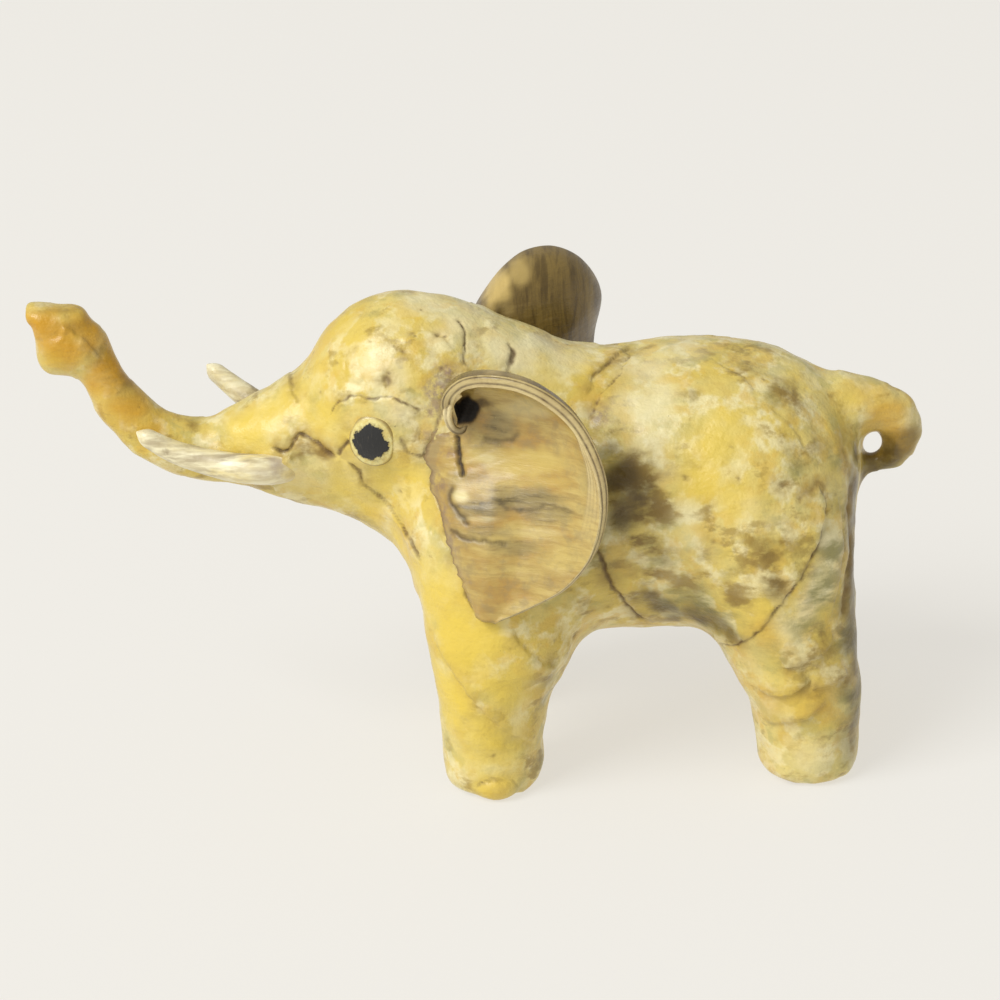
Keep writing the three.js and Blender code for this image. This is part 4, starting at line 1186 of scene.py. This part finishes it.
def eyeMesh(name, side, seed):
    centre, _ = onForm(*eyes["pixel"])
    centre = centre * (1, -side, 1)
    centre, facing = nearForm(centre)
    upward = np.array((0, 0, 1)) - facing * facing[2]
    upward /= np.linalg.norm(upward)
    across = np.cross(upward, facing)
    points, local = [], []
    shares = [*np.linspace(0, 1, eyes["rings"]), 1.0, 0.9]
    for n, share in enumerate(shares):
        for k in range(eyes["sides"]):
            angle = 2 * math.pi * k / eyes["sides"]
            rim = 1 + 0.05 * noise.noise(Vector((math.cos(angle) * 1.5, math.sin(angle) * 1.5, seed)))
            a = share * rim * eyes["width"] / 2 * math.cos(angle)
            b = share * rim * eyes["height"] / 2 * math.sin(angle)
            place, up = nearForm(centre + across * a + upward * b)
            if n < eyes["rings"]:
                edge = 1 - smoothStep((share - 0.9) / 0.1) * 0.7
                lift = (eyes["stand"] + eyes["dome"] * (1 - share ** 2)) * edge
            else:
                lift = -0.5
            points.append(place + up * lift)
            local.append((a, b))
    sides = eyes["sides"]
    faces = []
    for n in range(1, len(shares) - 1):
        for k in range(sides):
            m = (k + 1) % sides
            faces.append((n * sides + k, n * sides + m, (n + 1) * sides + m, (n + 1) * sides + k))
    faces += [(0, sides + k, sides + (k + 1) % sides) for k in range(sides)]
    last = (len(shares) - 1) * sides
    points.append(np.mean(points[last:last + sides], axis=0))
    local.append((0, 0))
    faces += [(len(points) - 1, last + (k + 1) % sides, last + k) for k in range(sides)]
    mesh = meshFrom(name, points, faces)
    setValues(mesh, "eyeAcross", [p[0] for p in local])
    setValues(mesh, "eyeUp", [p[1] for p in local])
    turnOut(mesh)
    return mesh


def eyePaint():
    f = Finish("eye paint")
    across, upward = f.painted("eyeAcross", "eyeUp")
    fine = f.grain(1.4, 3, 0.6, 41)
    ragged = f.grain(3.6, 4, 0.62, 42)
    brush = f.grain(0.7, 3, 0.7, 43, stretch=(1, 1, 5))
    wide, tall = eyes["pupil"]
    spread = ((across / wide) ** 2.0 + ((upward - 0.2) / tall) ** 2.0) ** 0.5 + (ragged - 0.5)
    pupil = 1 - spread.between(0.96, 1.02)
    wide, tall = eyes["outline"]
    ring = ((across / wide) ** 2.0 + (upward / tall) ** 2.0) ** 0.5
    colour = f.layered(
        tint(226, 214, 142),
        ((214, 192, 110), fine.between(0.4, 0.65)),
        ((140, 112, 62), ring.between(0.86, 0.97) * 0.75),
        ((92, 72, 44), (1 - spread.between(1.0, 1.14)) * 0.4))
    # black paint, with lighter streaks along the brush strokes as painted highlights
    paint = f.blend(tint(14, 13, 12), tint(62, 56, 46), brush.between(0.58, 0.72))
    colour = f.blend(colour, paint, pupil)
    roughness = 0.3 + fine * 0.1 + pupil * 0.08
    return f.finish(colour, roughness, fine + pupil * (0.8 + brush), 0.5, 0.1, 0.2)


eyeFinish = eyePaint()
for name, side in (("left_eye", -1), ("right_eye", 1)):
    mesh = eyeMesh(name + "_disc", side, 2.0 + side)
    mesh.materials.append(eyeFinish)
    piece = addObject(name + "_disc", mesh)
    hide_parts(name)
    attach(piece, "root")
    print(name, "made", trianglesOf(mesh), "triangles")


# The floor and the light
studio = {
    "floor": (128, 128, 126),
    "glowTint": (255, 251, 243),
    "floorSize": 30.0,
    "glow": 0.63,  # the floor's own light, which keeps the shadows faint
    "sky": 0.46,
    "skyTint": (1.0, 0.99, 0.97, 1.0),
    "key": {"power": 158.0, "size": 2.4, "place": (-2.4, -1.9, 3.2)},
    "fill": {"power": 13.0, "size": 2.0, "place": (-2.2, -3.2, 1.1)},
}


def makeStudio():
    half = studio["floorSize"] / 2 / mm
    corners = [(-half, -half, 0), (half, -half, 0), (half, half, 0), (-half, half, 0)]
    floorMesh = meshFrom("studio_floor", corners, [(0, 1, 2, 3)])
    f = Finish("studio floor")
    f.close({"Base Color": tint(*studio["floor"]), "Roughness": 0.9,
             "Emission Color": tint(*studio["glowTint"]), "Emission Strength": studio["glow"]})
    floorMesh.materials.append(f.material)
    addObject("studio_floor", floorMesh)
    world = bpy.data.worlds.new("studio")
    world.use_nodes = True
    sky = world.node_tree.nodes["Background"]
    sky.inputs["Color"].default_value = studio["skyTint"]
    sky.inputs["Strength"].default_value = studio["sky"]
    bpy.context.scene.world = world
    for label in ("key", "fill"):
        spec = studio[label]
        lamp = bpy.data.lights.new(label + "_light", "AREA")
        lamp.energy = spec["power"]
        lamp.size = spec["size"]
        holder = addObject(label + "_light", lamp)
        holder.location = spec["place"]
        aim = Vector(view["target"]) - Vector(spec["place"])
        holder.rotation_euler = aim.to_track_quat("-Z", "Y").to_euler()


makeStudio()
bpy.context.scene.view_settings.view_transform = "Standard"
print("studio lit")
